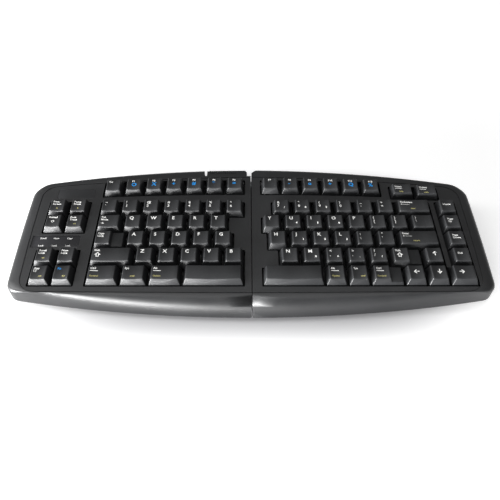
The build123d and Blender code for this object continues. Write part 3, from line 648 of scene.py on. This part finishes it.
def function_setback(x: float) -> float:
    """Gives how far back the function caps stand, in a shallow curve.

    Args:
        x: Place to the right, in metres.

    Returns:
        The setback, in metres.
    """
    reach = (abs(x) / MM - FUNCTION_START) / FUNCTION_REACH
    return (FUNCTION_FRONT - FUNCTION_SAG * reach**2) * MM


class KeyPlane:
    """The sloping plane that the caps stand on."""

    def __init__(self, setback: float) -> None:
        """Stores where the plane's datum line lies.

        Args:
            setback: The datum line's place along Y, in metres.
        """
        self.matrix = Matrix.Translation((0, setback, DATUM_HEIGHT)) @ Matrix.Rotation(TILT, 4, "X")

    def point(self, x: float, setback: float, height: float) -> Vector:
        """Gives a point of the frame.

        Args:
            x: Place to the right, in metres.
            setback: Distance behind the datum line, in metres.
            height: Height square to the plane, in metres.

        Returns:
            The point.
        """
        return self.matrix @ Vector((x, setback, height))


def add_object(name: str, data: bpy.types.ID) -> bpy.types.Object:
    """Adds an object to the scene.

    Args:
        name: Its name.
        data: Its mesh, curve, lamp or camera.

    Returns:
        The object.
    """
    item = bpy.data.objects.new(name, data)
    bpy.context.scene.collection.objects.link(item)
    return item


def mesh_from(name: str, work: bmesh.types.BMesh) -> bpy.types.Mesh:
    """Finishes a mesh under work.

    Args:
        name: The mesh's name.
        work: The mesh under work, which is freed.

    Returns:
        The mesh.
    """
    mesh = bpy.data.meshes.new(name)
    work.to_mesh(mesh)
    work.free()
    return mesh


def evaluated_mesh(source: bpy.types.Object) -> bpy.types.Mesh:
    """Makes a plain mesh of an object as its modifiers leave it.

    Args:
        source: The object.

    Returns:
        The mesh.
    """
    bpy.context.view_layer.update()
    graph = bpy.context.evaluated_depsgraph_get()
    return bpy.data.meshes.new_from_object(source.evaluated_get(graph))


def mesh_piece(name: str, mesh: bpy.types.Mesh, body: str, material: bpy.types.Material) -> bpy.types.Object:
    """Places a finished mesh in the scene as a piece.

    Args:
        name: The piece's name.
        mesh: Its mesh, already in place.
        body: The body it rides on.
        material: Its material.

    Returns:
        The piece.
    """
    piece = add_object(name, mesh)
    mesh.materials.clear()
    mesh.materials.append(material)
    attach(piece, body)
    return piece


class SoftParts:
    """The rubber domes and the clamp spring, as pieces of their own copied from their CAD nodes."""

    def __init__(self, plane: KeyPlane, material: bpy.types.Material) -> None:
        """Stores the plane and the rubber.

        Args:
            plane: The key plane.
            material: The domes' material.
        """
        self.plane = plane
        self.material = material
        self.inverse = plane.matrix.inverted()

    def caps(self) -> list[tuple[str, float, float]]:
        """Lists every cap's node and the place of its middle on the plane.

        Returns:
            Node, X and setback of each cap, in metres.
        """
        return [
            (node, cap.middle(start * MM), cap.front(start * MM) + cap.depth * MM / 2)
            for start, block in BLOCKS
            for node, caps in block.items()
            for cap in caps
        ]

    def piece(self, name: str, mesh: bpy.types.Mesh, faces: list[int], body: str) -> bpy.types.Object:
        """Makes a closed piece from some faces of a mesh.

        Args:
            name: The piece's name.
            mesh: Where the faces come from.
            faces: Their numbers.
            body: The body the piece rides on.

        Returns:
            The piece.
        """
        keep = set(faces)
        work = bmesh.new()
        work.from_mesh(mesh)
        bmesh.ops.delete(work, geom=[face for face in work.faces if face.index not in keep], context="FACES")
        bmesh.ops.remove_doubles(work, verts=work.verts, dist=WELD)
        bmesh.ops.holes_fill(work, edges=[edge for edge in work.edges if edge.is_boundary], sides=0)
        bmesh.ops.recalc_face_normals(work, faces=work.faces)
        piece = mesh_piece(name, mesh_from(name, work), body, self.material)
        return piece

    def domes(self, node: bpy.types.Object, body: str) -> None:
        """Replaces a dome sheet by the sheet and the domes of each key node.

        Args:
            node: The CAD node.
            body: Its body.
        """
        middles = [self.inverse @ polygon.center for polygon in node.data.polygons]
        heights = [(self.inverse @ vertex.co).z for vertex in node.data.vertices]
        top = min(heights) + SHEET_THICKNESS
        caps = self.caps()
        groups: dict[str, list[int]] = {"": []}
        for number, middle in enumerate(middles):
            owner = ""
            if middle.z > top + DOME_FOOT:
                owner = min(caps, key=lambda cap: (cap[1] - middle.x) ** 2 + (cap[2] - middle.y) ** 2)[0]
            groups.setdefault(owner, []).append(number)
        sheet = self.piece(f"{node.name}_base", node.data, groups.pop(""), body)
        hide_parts(node.name)
        for owner, faces in groups.items():
            dome = self.piece(f"{owner}_domes", node.data, faces, body)
            tuple(self.plane.point(0, 0, top))
            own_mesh(dome)

    def spring(self, node: bpy.types.Object, body: str, material: bpy.types.Material) -> None:
        """Replaces the clamp spring by a plain copy of its mesh on the same body.

        Args:
            node: The CAD node.
            body: Its body.
            material: The spring's material.
        """
        mesh = node.data.copy()
        piece = mesh_piece("clamp_spring_live", mesh, body, material)
        mesh.name = piece.name
        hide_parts(node.name)
        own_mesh(piece)


class CapLegends:
    """Prints the marks on a block of caps."""

    def __init__(self, plane: KeyPlane, workshop: Workshop) -> None:
        """Stores the plane and the materials.

        Args:
            plane: The key plane.
            workshop: Where the inks come from.
        """
        self.plane = plane
        self.workshop = workshop
        self.glyphs: dict[str, bpy.types.Mesh] = {}

    def glyph(self, text: str) -> bpy.types.Mesh:
        """Makes the flat mesh of a text, one unit high. Long dashes become one ruled line.

        Args:
            text: What it says.

        Returns:
            The mesh.
        """
        if text not in self.glyphs and set(text) == {"—"}:
            self.glyphs[text] = self.rule(RULE_LENGTH * len(text))
        elif text not in self.glyphs:
            curve = bpy.data.curves.new("mark", "FONT")
            curve.body = text
            curve.size = GLYPH_SIZE
            curve.resolution_u = 2
            curve.offset = GLYPH_WEIGHT
            holder = add_object("mark", curve)
            self.glyphs[text] = evaluated_mesh(holder)
            bpy.data.objects.remove(holder)
        return self.glyphs[text]

    def rule(self, length: float) -> bpy.types.Mesh:
        """Makes the flat mesh of a ruled line, in steps that can follow a dish.

        Args:
            length: Its length, for a mark of unit size.

        Returns:
            The mesh.
        """
        steps = range(RULE_STEPS + 1)
        corners = [(length * step / RULE_STEPS, y, 0) for step in steps for y in RULE_LEVELS]
        faces = [(2 * step, 2 * step + 2, 2 * step + 3, 2 * step + 1) for step in range(RULE_STEPS)]
        mesh = bpy.data.meshes.new("rule")
        mesh.from_pydata(corners, [], faces)
        return mesh

    def lay(self, work: bmesh.types.BMesh, mark: Mark, place: Callable[[float, float], Vector]) -> None:
        """Adds one mark's faces.

        Args:
            work: The mesh under work.
            mark: The mark.
            place: Gives the frame's point for a place on the mark, in mm from its corner.
        """
        source = self.glyph(mark.text)
        vertices = [
            work.verts.new(place(vertex.co.x * mark.size, vertex.co.y * mark.size))
            for vertex in source.vertices
        ]
        for polygon in source.polygons:
            try:
                work.faces.new([vertices[index] for index in polygon.vertices])
            except ValueError:
                LOG.debug("doubled face in %s", mark.text)

    def cap_frame(self, start: float, cap: Cap) -> tuple[float, float, float, float]:
        """Gives where the raised part of a cap's top lies.

        Args:
            start: The block's left edge, in metres.
            cap: The cap.

        Returns:
            Middle X and setback of the top, the dish's radius and the top's half width.
        """
        front = cap.front(start)
        width = cap.raised or cap.width
        x = cap.middle(start) + (width - cap.width) / 2 * PITCH
        half_top = (width * PITCH - CAP_BASE_GAP) / 2 - CAP_SIDE_INSET
        radius = (half_top**2 + CAP_DISH**2) / (2 * CAP_DISH)
        low = front + CAP_FRONT_INSET - CAP_FRONT_OFFSET
        high = front + cap.depth * MM - CAP_BASE_GAP - CAP_FRONT_OFFSET - CAP_BACK_INSET
        return x, (low + high) / 2, radius, half_top

    def print_mark(self, work: bmesh.types.BMesh, start: float, cap: Cap, mark: Mark) -> None:
        """Lays one mark on the cap's dished top.

        Args:
            work: The mesh under work.
            start: The block's left edge, in metres.
            cap: The cap.
            mark: The mark.
        """
        middle, setback, radius, half_top = self.cap_frame(start, cap)
        anchor = mark.x * MM
        if cap.width > 1 or cap.raised:
            anchor = (mark.x + SINGLE_HALF_TOP) * MM - half_top

        def place(across: float, along: float) -> Vector:
            """Gives the point on the dish for a place on the mark."""
            x = anchor + across * MM
            drop = radius - math.sqrt(max(radius**2 - x**2, 0.0))
            height = CAP_HEIGHT - CAP_DISH + drop + CAP_INK_LIFT
            return self.plane.point(middle + x, setback + mark.y * MM + along * MM, height)

        self.lay(work, mark, place)

    def plate_marks(self, name: str, body: str, depth: float, marks: list[Mark]) -> None:
        """Prints marks on a flat plate, at their places on the key plane.

        Args:
            name: The piece's name.
            body: The body the plate belongs to.
            depth: The plate's face under the key plane, in mm.
            marks: The marks, from the frame's middle and the datum line.
        """
        work = bmesh.new()
        height = (PLATE_INK_LIFT - depth) * MM
        for mark in marks:
            self.lay(work, mark, lambda x, y: self.plane.point((mark.x + x) * MM, (mark.y + y) * MM, height))
        work.normal_update()
        piece = mesh_piece(name, mesh_from(name, work), body, self.workshop.solid(INKS[Ink.WHITE]))

    def build(self, start: float, block: dict[str, list[Cap]]) -> None:
        """Prints every cap of a block.

        Args:
            start: The block's left edge, in metres.
            block: The caps of each node.
        """
        for node, caps in block.items():
            for ink in Ink:
                printed = [(cap, mark) for cap in caps for mark in cap.marks if mark.ink is ink]
                if not printed:
                    continue
                work = bmesh.new()
                for cap, mark in printed:
                    self.print_mark(work, start, cap, mark)
                work.normal_update()
                mesh = mesh_from(f"{node}_{ink.value}", work)
                piece = mesh_piece(mesh.name, mesh, f"{node}_body", self.workshop.solid(INKS[ink]))


@dataclass(frozen=True)
class Softener:
    """Makes soft-edged copies of CAD nodes.

    Args:
        width: Width of the rounding, in metres.
        segments: Steps of the rounding.
        angle: Edges sharper than this are rounded, in degrees.
        sharp: Edges sharper than this stay sharp in the shading, in degrees.
        merge: Faces that meet at less than this are joined, in degrees.
    """

    width: float = 0.0006
    segments: int = 3
    angle: float = 40.0
    sharp: float = 32.0
    merge: float = 1.5

    def soften(self, node: bpy.types.Object, body: str, material: bpy.types.Material) -> None:
        """Replaces a node with a copy whose sharp edges are rounded.

        Args:
            node: The CAD node's object.
            body: The body it belongs to.
            material: The copy's material.
        """
        work = bmesh.new()
        work.from_mesh(node.data)
        bmesh.ops.remove_doubles(work, verts=work.verts, dist=WELD)
        limit = math.radians(self.merge)
        bmesh.ops.dissolve_limit(work, angle_limit=limit, verts=work.verts, edges=work.edges)
        name = f"{node.name}_soft"
        piece = mesh_piece(name, mesh_from(name, work), body, material)
        if self.width:
            self.round_edges(piece)
        finished = piece.data
        finished.name = name
        finished.shade_smooth()
        finished.set_sharp_from_angle(angle=math.radians(self.sharp))
        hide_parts(node.name)

    def round_edges(self, piece: bpy.types.Object) -> None:
        """Rounds a piece's sharp edges.

        Args:
            piece: The piece.
        """
        bevel = piece.modifiers.new("round", "BEVEL")
        bevel.width = self.width
        bevel.segments = self.segments
        bevel.limit_method = "ANGLE"
        bevel.angle_limit = math.radians(self.angle)
        finished = evaluated_mesh(piece)
        piece.modifiers.clear()
        piece.data = finished


@dataclass(frozen=True)
class BarRow:
    """A row of small rounded bars, repeated by a geometry node tree.

    Args:
        name: The row's name.
        count: How many bars.
        pitch: Distance between bars, in mm.
        size: Length along X, along Y and height of a bar, in mm.
    """

    name: str
    count: int
    pitch: float
    size: tuple[float, float, float]

    def tree(self, material: bpy.types.Material) -> bpy.types.NodeTree:
        """Makes the geometry node tree.

        Args:
            material: The bars' material.

        Returns:
            The tree, with the inputs Bar, Count, Pitch and Size.
        """
        builder = TreeBuilder(bpy.data.node_groups.new(f"{self.name}_tree", "GeometryNodeTree"))
        sockets = builder.tree.interface
        sockets.new_socket("Geometry", in_out="OUTPUT", socket_type="NodeSocketGeometry")
        for name, kind in (("Bar", "Geometry"), ("Count", "Int"), ("Pitch", "Float"), ("Size", "Vector")):
            sockets.new_socket(name, in_out="INPUT", socket_type=f"NodeSocket{kind}")
        inlet = builder.node("NodeGroupInput")
        step = builder.node("ShaderNodeCombineXYZ", {"X": inlet["Pitch"]})
        line = builder.node("GeometryNodeMeshLine", {"Count": inlet["Count"], "Offset": step["Vector"]})
        copies = {"Points": line["Mesh"], "Instance": inlet["Bar"], "Scale": inlet["Size"]}
        scatter = builder.node("GeometryNodeInstanceOnPoints", copies)
        realised = builder.node("GeometryNodeRealizeInstances", {"Geometry": scatter["Instances"]})
        painted = {"Geometry": realised["Geometry"], "Material": material}
        paint = builder.node("GeometryNodeSetMaterial", painted)
        builder.node("NodeGroupOutput", {"Geometry": paint["Geometry"]})
        return builder.tree

    def bar(self) -> bpy.types.Mesh:
        """Makes one bar of unit size, standing on its foot and rounded above it.

        Returns:
            The bar's mesh.
        """
        work = bmesh.new()
        bmesh.ops.create_cube(work, size=1.0)
        bmesh.ops.translate(work, verts=work.verts, vec=(0, 0, 0.5))
        above = [edge for edge in work.edges if any(vertex.co.z > 0.5 for vertex in edge.verts)]
        bmesh.ops.bevel(work, geom=above, offset=BAR_ROUNDING, segments=3, affect="EDGES", profile=0.5)
        return mesh_from(f"{self.name}_bar", work)

    def build(self, place: Matrix, body: str, material: bpy.types.Material, slot: str) -> None:
        """Makes the row as a plain piece.

        Args:
            place: Where the first bar's foot stands and how the row lies, in metres.
            body: The body it rides on.
            material: Its material.
            slot: The record's material slot; not used.
        """
        holder = add_object(f"{self.name}_source", self.bar())
        tree = self.tree(material)
        modifier = holder.modifiers.new("row", "NODES")
        modifier.node_group = tree
        size = [length * MM for length in self.size]
        values = {"Count": self.count, "Pitch": self.pitch * MM, "Size": size}
        for item in tree.interface.items_tree:
            if item.item_type == "SOCKET" and item.in_out == "INPUT" and item.name in values:
                modifier[item.identifier] = values[item.name]
        mesh = evaluated_mesh(holder)
        bpy.data.objects.remove(holder)
        mesh.transform(place)
        mesh.name = self.name
        piece = mesh_piece(self.name, mesh, body, material)
        mesh.shade_smooth()
        mesh.set_sharp_from_angle(angle=math.radians(BAR_SHARP))


@dataclass(frozen=True)
class StudioCamera:
    """The photograph's camera over the key plane.

    Args:
        lens: Focal length on a 36 mm sensor.
        distance: Distance to the aim point, in mm.
        aim: The aim point on the key plane, X and setback, in mm.
        elevation: Height of the view over the key plane, in degrees.
        yaw: Turn about the plane's normal, in degrees.
        roll: Turn about the view's axis, in degrees.
    """

    lens: float = 40.1076
    distance: float = 484.882
    aim: tuple[float, float] = (-1.486, -39.01)
    elevation: float = 51.378
    yaw: float = 0.8371
    roll: float = 0.6586

    def place(self, plane: KeyPlane) -> None:
        """Makes the camera and gives it to the scene.

        Args:
            plane: The key plane.
        """
        data = bpy.data.cameras.new("camera")
        data.sensor_width = 36.0
        data.lens = self.lens
        data.clip_start = 0.02
        camera = add_object("camera", data)
        rise = math.radians(self.elevation)
        yaw = math.radians(self.yaw)
        aim = Vector((self.aim[0] * MM, self.aim[1] * MM, 0))
        flat = math.cos(rise)
        back = Vector((-math.sin(yaw) * flat, -math.cos(yaw) * flat, math.sin(rise)))
        right = (-back).cross(Vector((0, 0, 1))).normalized()
        up = right.cross(-back)
        roll = math.radians(self.roll)
        turned_right = right * math.cos(roll) + up * math.sin(roll)
        turned_up = up * math.cos(roll) - right * math.sin(roll)
        local = Matrix((turned_right, turned_up, back)).transposed().to_4x4()
        local.translation = aim + back * self.distance * MM
        camera.matrix_world = plane.matrix @ local
        bpy.context.scene.camera = camera


@dataclass(frozen=True)
class SoftBox:
    """One rectangular lamp.

    Args:
        name: Its name.
        place: Where it stands, in metres.
        aim: What it points at, in metres.
        size: Its width and height, in metres.
        power: Its power, in watts.
    """

    name: str
    place: tuple[float, float, float]
    aim: tuple[float, float, float]
    size: tuple[float, float]
    power: float

    def light(self) -> None:
        """Adds the lamp to the scene."""
        data = bpy.data.lights.new(self.name, "AREA")
        data.shape = "RECTANGLE"
        data.size, data.size_y = self.size
        data.energy = self.power
        lamp = add_object(self.name, data)
        lamp.location = self.place
        way = Vector(self.aim) - Vector(self.place)
        lamp.rotation_euler = way.to_track_quat("-Z", "Y").to_euler()


SOFT_BOXES = (
    SoftBox("front_left_box", (-0.9, -1.4, 0.16), (-0.12, 0, 0.02), (1.2, 0.3), 88.0),
    SoftBox("left_box", (-1.5, -0.72, 0.13), (0.05, 0, 0.03), (0.6, 0.2), 88.0),
    SoftBox("left_strip", (-0.9, 0.1, 0.75), (0, 0, 0.02), (0.25, 1.0), 7.0),
    SoftBox("top_box", (0.0, 0.1, 1.6), (0, 0, 0), (1.6, 0.9), 6.0),
)


@dataclass(frozen=True)
class Studio:
    """The pale floor, with a painted shadow under the keyboard, and the soft light.

    Args:
        glow: How much light the floor gives off.
        sky: Strength of the even light.
        reach: Half width of the floor, in metres.
        greys: Darkest and palest grey of the floor.
        painted_shadow: Colour of the painted shadow on the floor under the object.
        painted_shadow_reach: Half sizes of the patch of painted shadow, in metres.
        painted_shadow_edge: Where the painted shadow starts and ends to fade, in shares of its half sizes.
    """

    glow: float = 0.44
    sky: float = 0.24
    reach: float = 6.0
    greys: tuple[float, float] = (0.9, 0.93)
    # Painted shadow: a darker patch of floor without glow under the keyboard, fixed to the floor.
    painted_shadow: tuple[float, float, float, float] = (0.36, 0.36, 0.37, 1)
    painted_shadow_reach: tuple[float, float] = (0.178, 0.1)
    painted_shadow_edge: tuple[float, float] = (0.5, 1.5)

    def floor(self, lowest: float) -> None:
        """Makes the floor, with a painted shadow under the keyboard: a darker colour and no glow there.

        Args:
            lowest: Height of the floor, in metres.
        """
        mesh = bpy.data.meshes.new("studio_floor")
        signs = ((-1, -1), (1, -1), (1, 1), (-1, 1))
        mesh.from_pydata([(x * self.reach, y * self.reach, lowest) for x, y in signs], [], [(0, 1, 2, 3)])
        floor = add_object("studio_floor", mesh)
        material = bpy.data.materials.new("studio_white")
        material.use_nodes = True
        tree = TreeBuilder(material.node_tree)
        place = tree.node("ShaderNodeTexCoord")["Object"]
        noise = tree.node("ShaderNodeTexNoise", {"Vector": place, "Scale": 2.0})
        ends = enumerate((grey,) * 3 for grey in self.greys)
        # Painted shadow: the floor's colour and glow fade to the dark patch around the keyboard's place.
        clear = self.clear(tree, place)
        mixed = {"Factor": clear, "A": self.painted_shadow, "B": tree.ramp(noise["Fac"], ends)}
        glow = tree.node("ShaderNodeMath", {0: clear, 1: self.glow}, operation="MULTIPLY")
        looks = {
            "Base Color": tree.node("ShaderNodeMix", mixed, data_type="RGBA")["Result"],
            "Roughness": 0.3,
            "Emission Color": (1, 1, 1, 1),
            "Emission Strength": glow["Value"],
        }
        tree.feed(material.node_tree.nodes["Principled BSDF"], looks)
        mesh.materials.append(material)
        floor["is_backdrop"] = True

    def clear(self, tree: TreeBuilder, place: bpy.types.NodeSocket) -> bpy.types.NodeSocket:
        """Gives how clear of the painted shadow patch a floor point is, from 0 to 1.

        Args:
            tree: The floor's node tree.
            place: The point's coordinates.

        Returns:
            The socket with the value.
        """
        scale = (1 / self.painted_shadow_reach[0], 1 / self.painted_shadow_reach[1], 0)
        shares = tree.node("ShaderNodeVectorMath", {0: place, 1: scale}, operation="MULTIPLY")["Vector"]
        square = tree.node("ShaderNodeVectorMath", {0: shares, 1: shares}, operation="MULTIPLY")["Vector"]
        length = tree.node("ShaderNodeVectorMath", {0: square}, operation="LENGTH")["Value"]
        edge = {"Value": length, "From Min": self.painted_shadow_edge[0], "From Max": self.painted_shadow_edge[1]}
        return tree.node("ShaderNodeMapRange", edge, interpolation_type="SMOOTHSTEP")["Result"]

    def backdrop(self) -> None:
        """Makes the sky, pale to the camera without adding light."""
        world = bpy.data.worlds.new("studio")
        world.use_nodes = True
        tree = TreeBuilder(world.node_tree)
        seen = tree.node("ShaderNodeLightPath")["Is Camera Ray"]
        levels = {0: seen, 1: 1 - self.sky, 2: self.sky}
        strength = tree.node("ShaderNodeMath", levels, operation="MULTIPLY_ADD")["Value"]
        tree.feed(world.node_tree.nodes["Background"], {"Color": (1, 1, 1, 1), "Strength": strength})
        bpy.context.scene.world = world

    def build(self, lowest: float) -> None:
        """Makes the floor, the sky and the lamps.

        Args:
            lowest: Height of the floor, in metres.
        """
        self.floor(lowest)
        self.backdrop()
        bpy.context.scene.view_settings.view_transform = "Standard"
        for box in SOFT_BOXES:
            box.light()


class Keyboard:
    """The whole keyboard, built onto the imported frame."""

    def __init__(self, frame: dict) -> None:
        """Stores the frame and sets out the key plane.
        """
        self.nodes = frame["nodes"]
        self.workshop = Workshop()
        splay = next(joint for joint in frame["joints"] if joint["name"] == "splay")
        self.plane = KeyPlane(splay["pos_m"][1] - PIVOT_SETBACK)
        self.legends = CapLegends(self.plane, self.workshop)
        record = frame["record"]
        self.slots = {entry["node"]: entry["material_slot"] for entry in record["subparts"]}
        bodies = record["behaviour"]["bodies"]
        self.bodies = {node: body for body, nodes in bodies.items() for node in nodes}

    def material(self, name: str) -> bpy.types.Material:
        """Gives the material of a CAD node.

        Args:
            name: The node's name.

        Returns:
            The material.
        """
        return self.workshop.solid(FINISHES[self.slots[name]])

    def finishes(self) -> None:
        """Gives each CAD node its material."""
        for name, node in self.nodes.items():
            for slot in node.material_slots:
                slot.material = self.material(name)

    def caps(self) -> None:
        """Softens the caps' edges and prints their legends."""
        for name, node in self.nodes.items():
            if self.slots[name] == "keycap_plastic":
                Softener().soften(node, self.bodies[name], self.material(name))
        for start, block in BLOCKS:
            self.legends.build(start * MM, block)

    def shells(self) -> None:
        """Smooths the covers, the lever and the plates."""
        for name, width in SHELL_ROUNDINGS.items():
            softener = Softener(width=width, angle=50.0, sharp=24.0, merge=0.05)
            softener.soften(self.nodes[name], self.bodies[name], self.material(name))

    def soft_parts(self) -> None:
        """Replaces the dome sheets and the spring by copies of their own."""
        soft = SoftParts(self.plane, self.workshop.solid(FINISHES["dome_rubber"]))
        for name in ("left_dome_sheet", "right_dome_sheet"):
            soft.domes(self.nodes[name], self.bodies[name])
        spring = "clamp_spring"
        soft.spring(self.nodes[spring], self.bodies[spring], self.material(spring))

    def lever_ridges(self) -> None:
        """Adds the rows of grip ridges on the lever."""
        for number, setback in enumerate(RIDGE_SETBACKS, start=1):
            ridges = BarRow(f"lever_ridges_{number}", count=14, pitch=1.9, size=(0.9, 1.4, 0.5))
            foot = Matrix.Translation((RIDGE_START * MM, setback * MM, RIDGE_FOOT * MM))
            lever = self.material("lock_lever")
            ridges.build(self.plane.matrix @ foot, self.bodies["lock_lever"], lever, "lever_plastic")

    def chip_leads(self) -> None:
        """Adds the leads on both sides of the chip."""
        low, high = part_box("controller_board")
        middle = Vector(((low[0] + high[0]) / 2, (low[1] + high[1]) / 2, low[2] + LEAD_FOOT * MM))
        for number, side in enumerate((-1, 1), start=1):
            leads = BarRow(f"chip_leads_{number}", count=8, pitch=1.0, size=(0.45, 1.5, 0.35))
            spot = Matrix.Translation(middle + Vector((LEAD_START * MM, side * LEAD_SETBACK * MM, 0)))
            steel = self.workshop.solid(FINISHES["plate_steel"])
            leads.build(spot, self.bodies["controller_board"], steel, "board_laminate")

    def lamp_marks(self) -> None:
        """Prints the lamps' names on the indicator window."""
        marks = [Mark(text, x - LAMP_INDENT, y=-26.4, size=1.7) for text, x in LAMP_PLACES]
        marks += [Mark("Lock", x - LAMP_INDENT, y=-34.6, size=1.7) for _, x in LAMP_PLACES]
        self.legends.plate_marks("lamp_marks", self.bodies["indicator_window"], depth=0.4, marks=marks)

    def build(self) -> None:
        """Builds everything in order."""
        self.finishes()
        self.shells()
        self.caps()
        self.soft_parts()
        self.lever_ridges()
        self.chip_leads()
        self.lamp_marks()


def main() -> None:
    """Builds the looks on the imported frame."""
    logging.basicConfig(level=logging.WARNING)
    for stray in list(bpy.data.objects):
        bpy.data.objects.remove(stray)
    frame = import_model()
    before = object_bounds()
    keyboard = Keyboard(frame)
    keyboard.build()
    StudioCamera().place(keyboard.plane)
    Studio().build(before[0][2])
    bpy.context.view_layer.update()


if __name__ == "__main__":
    main()
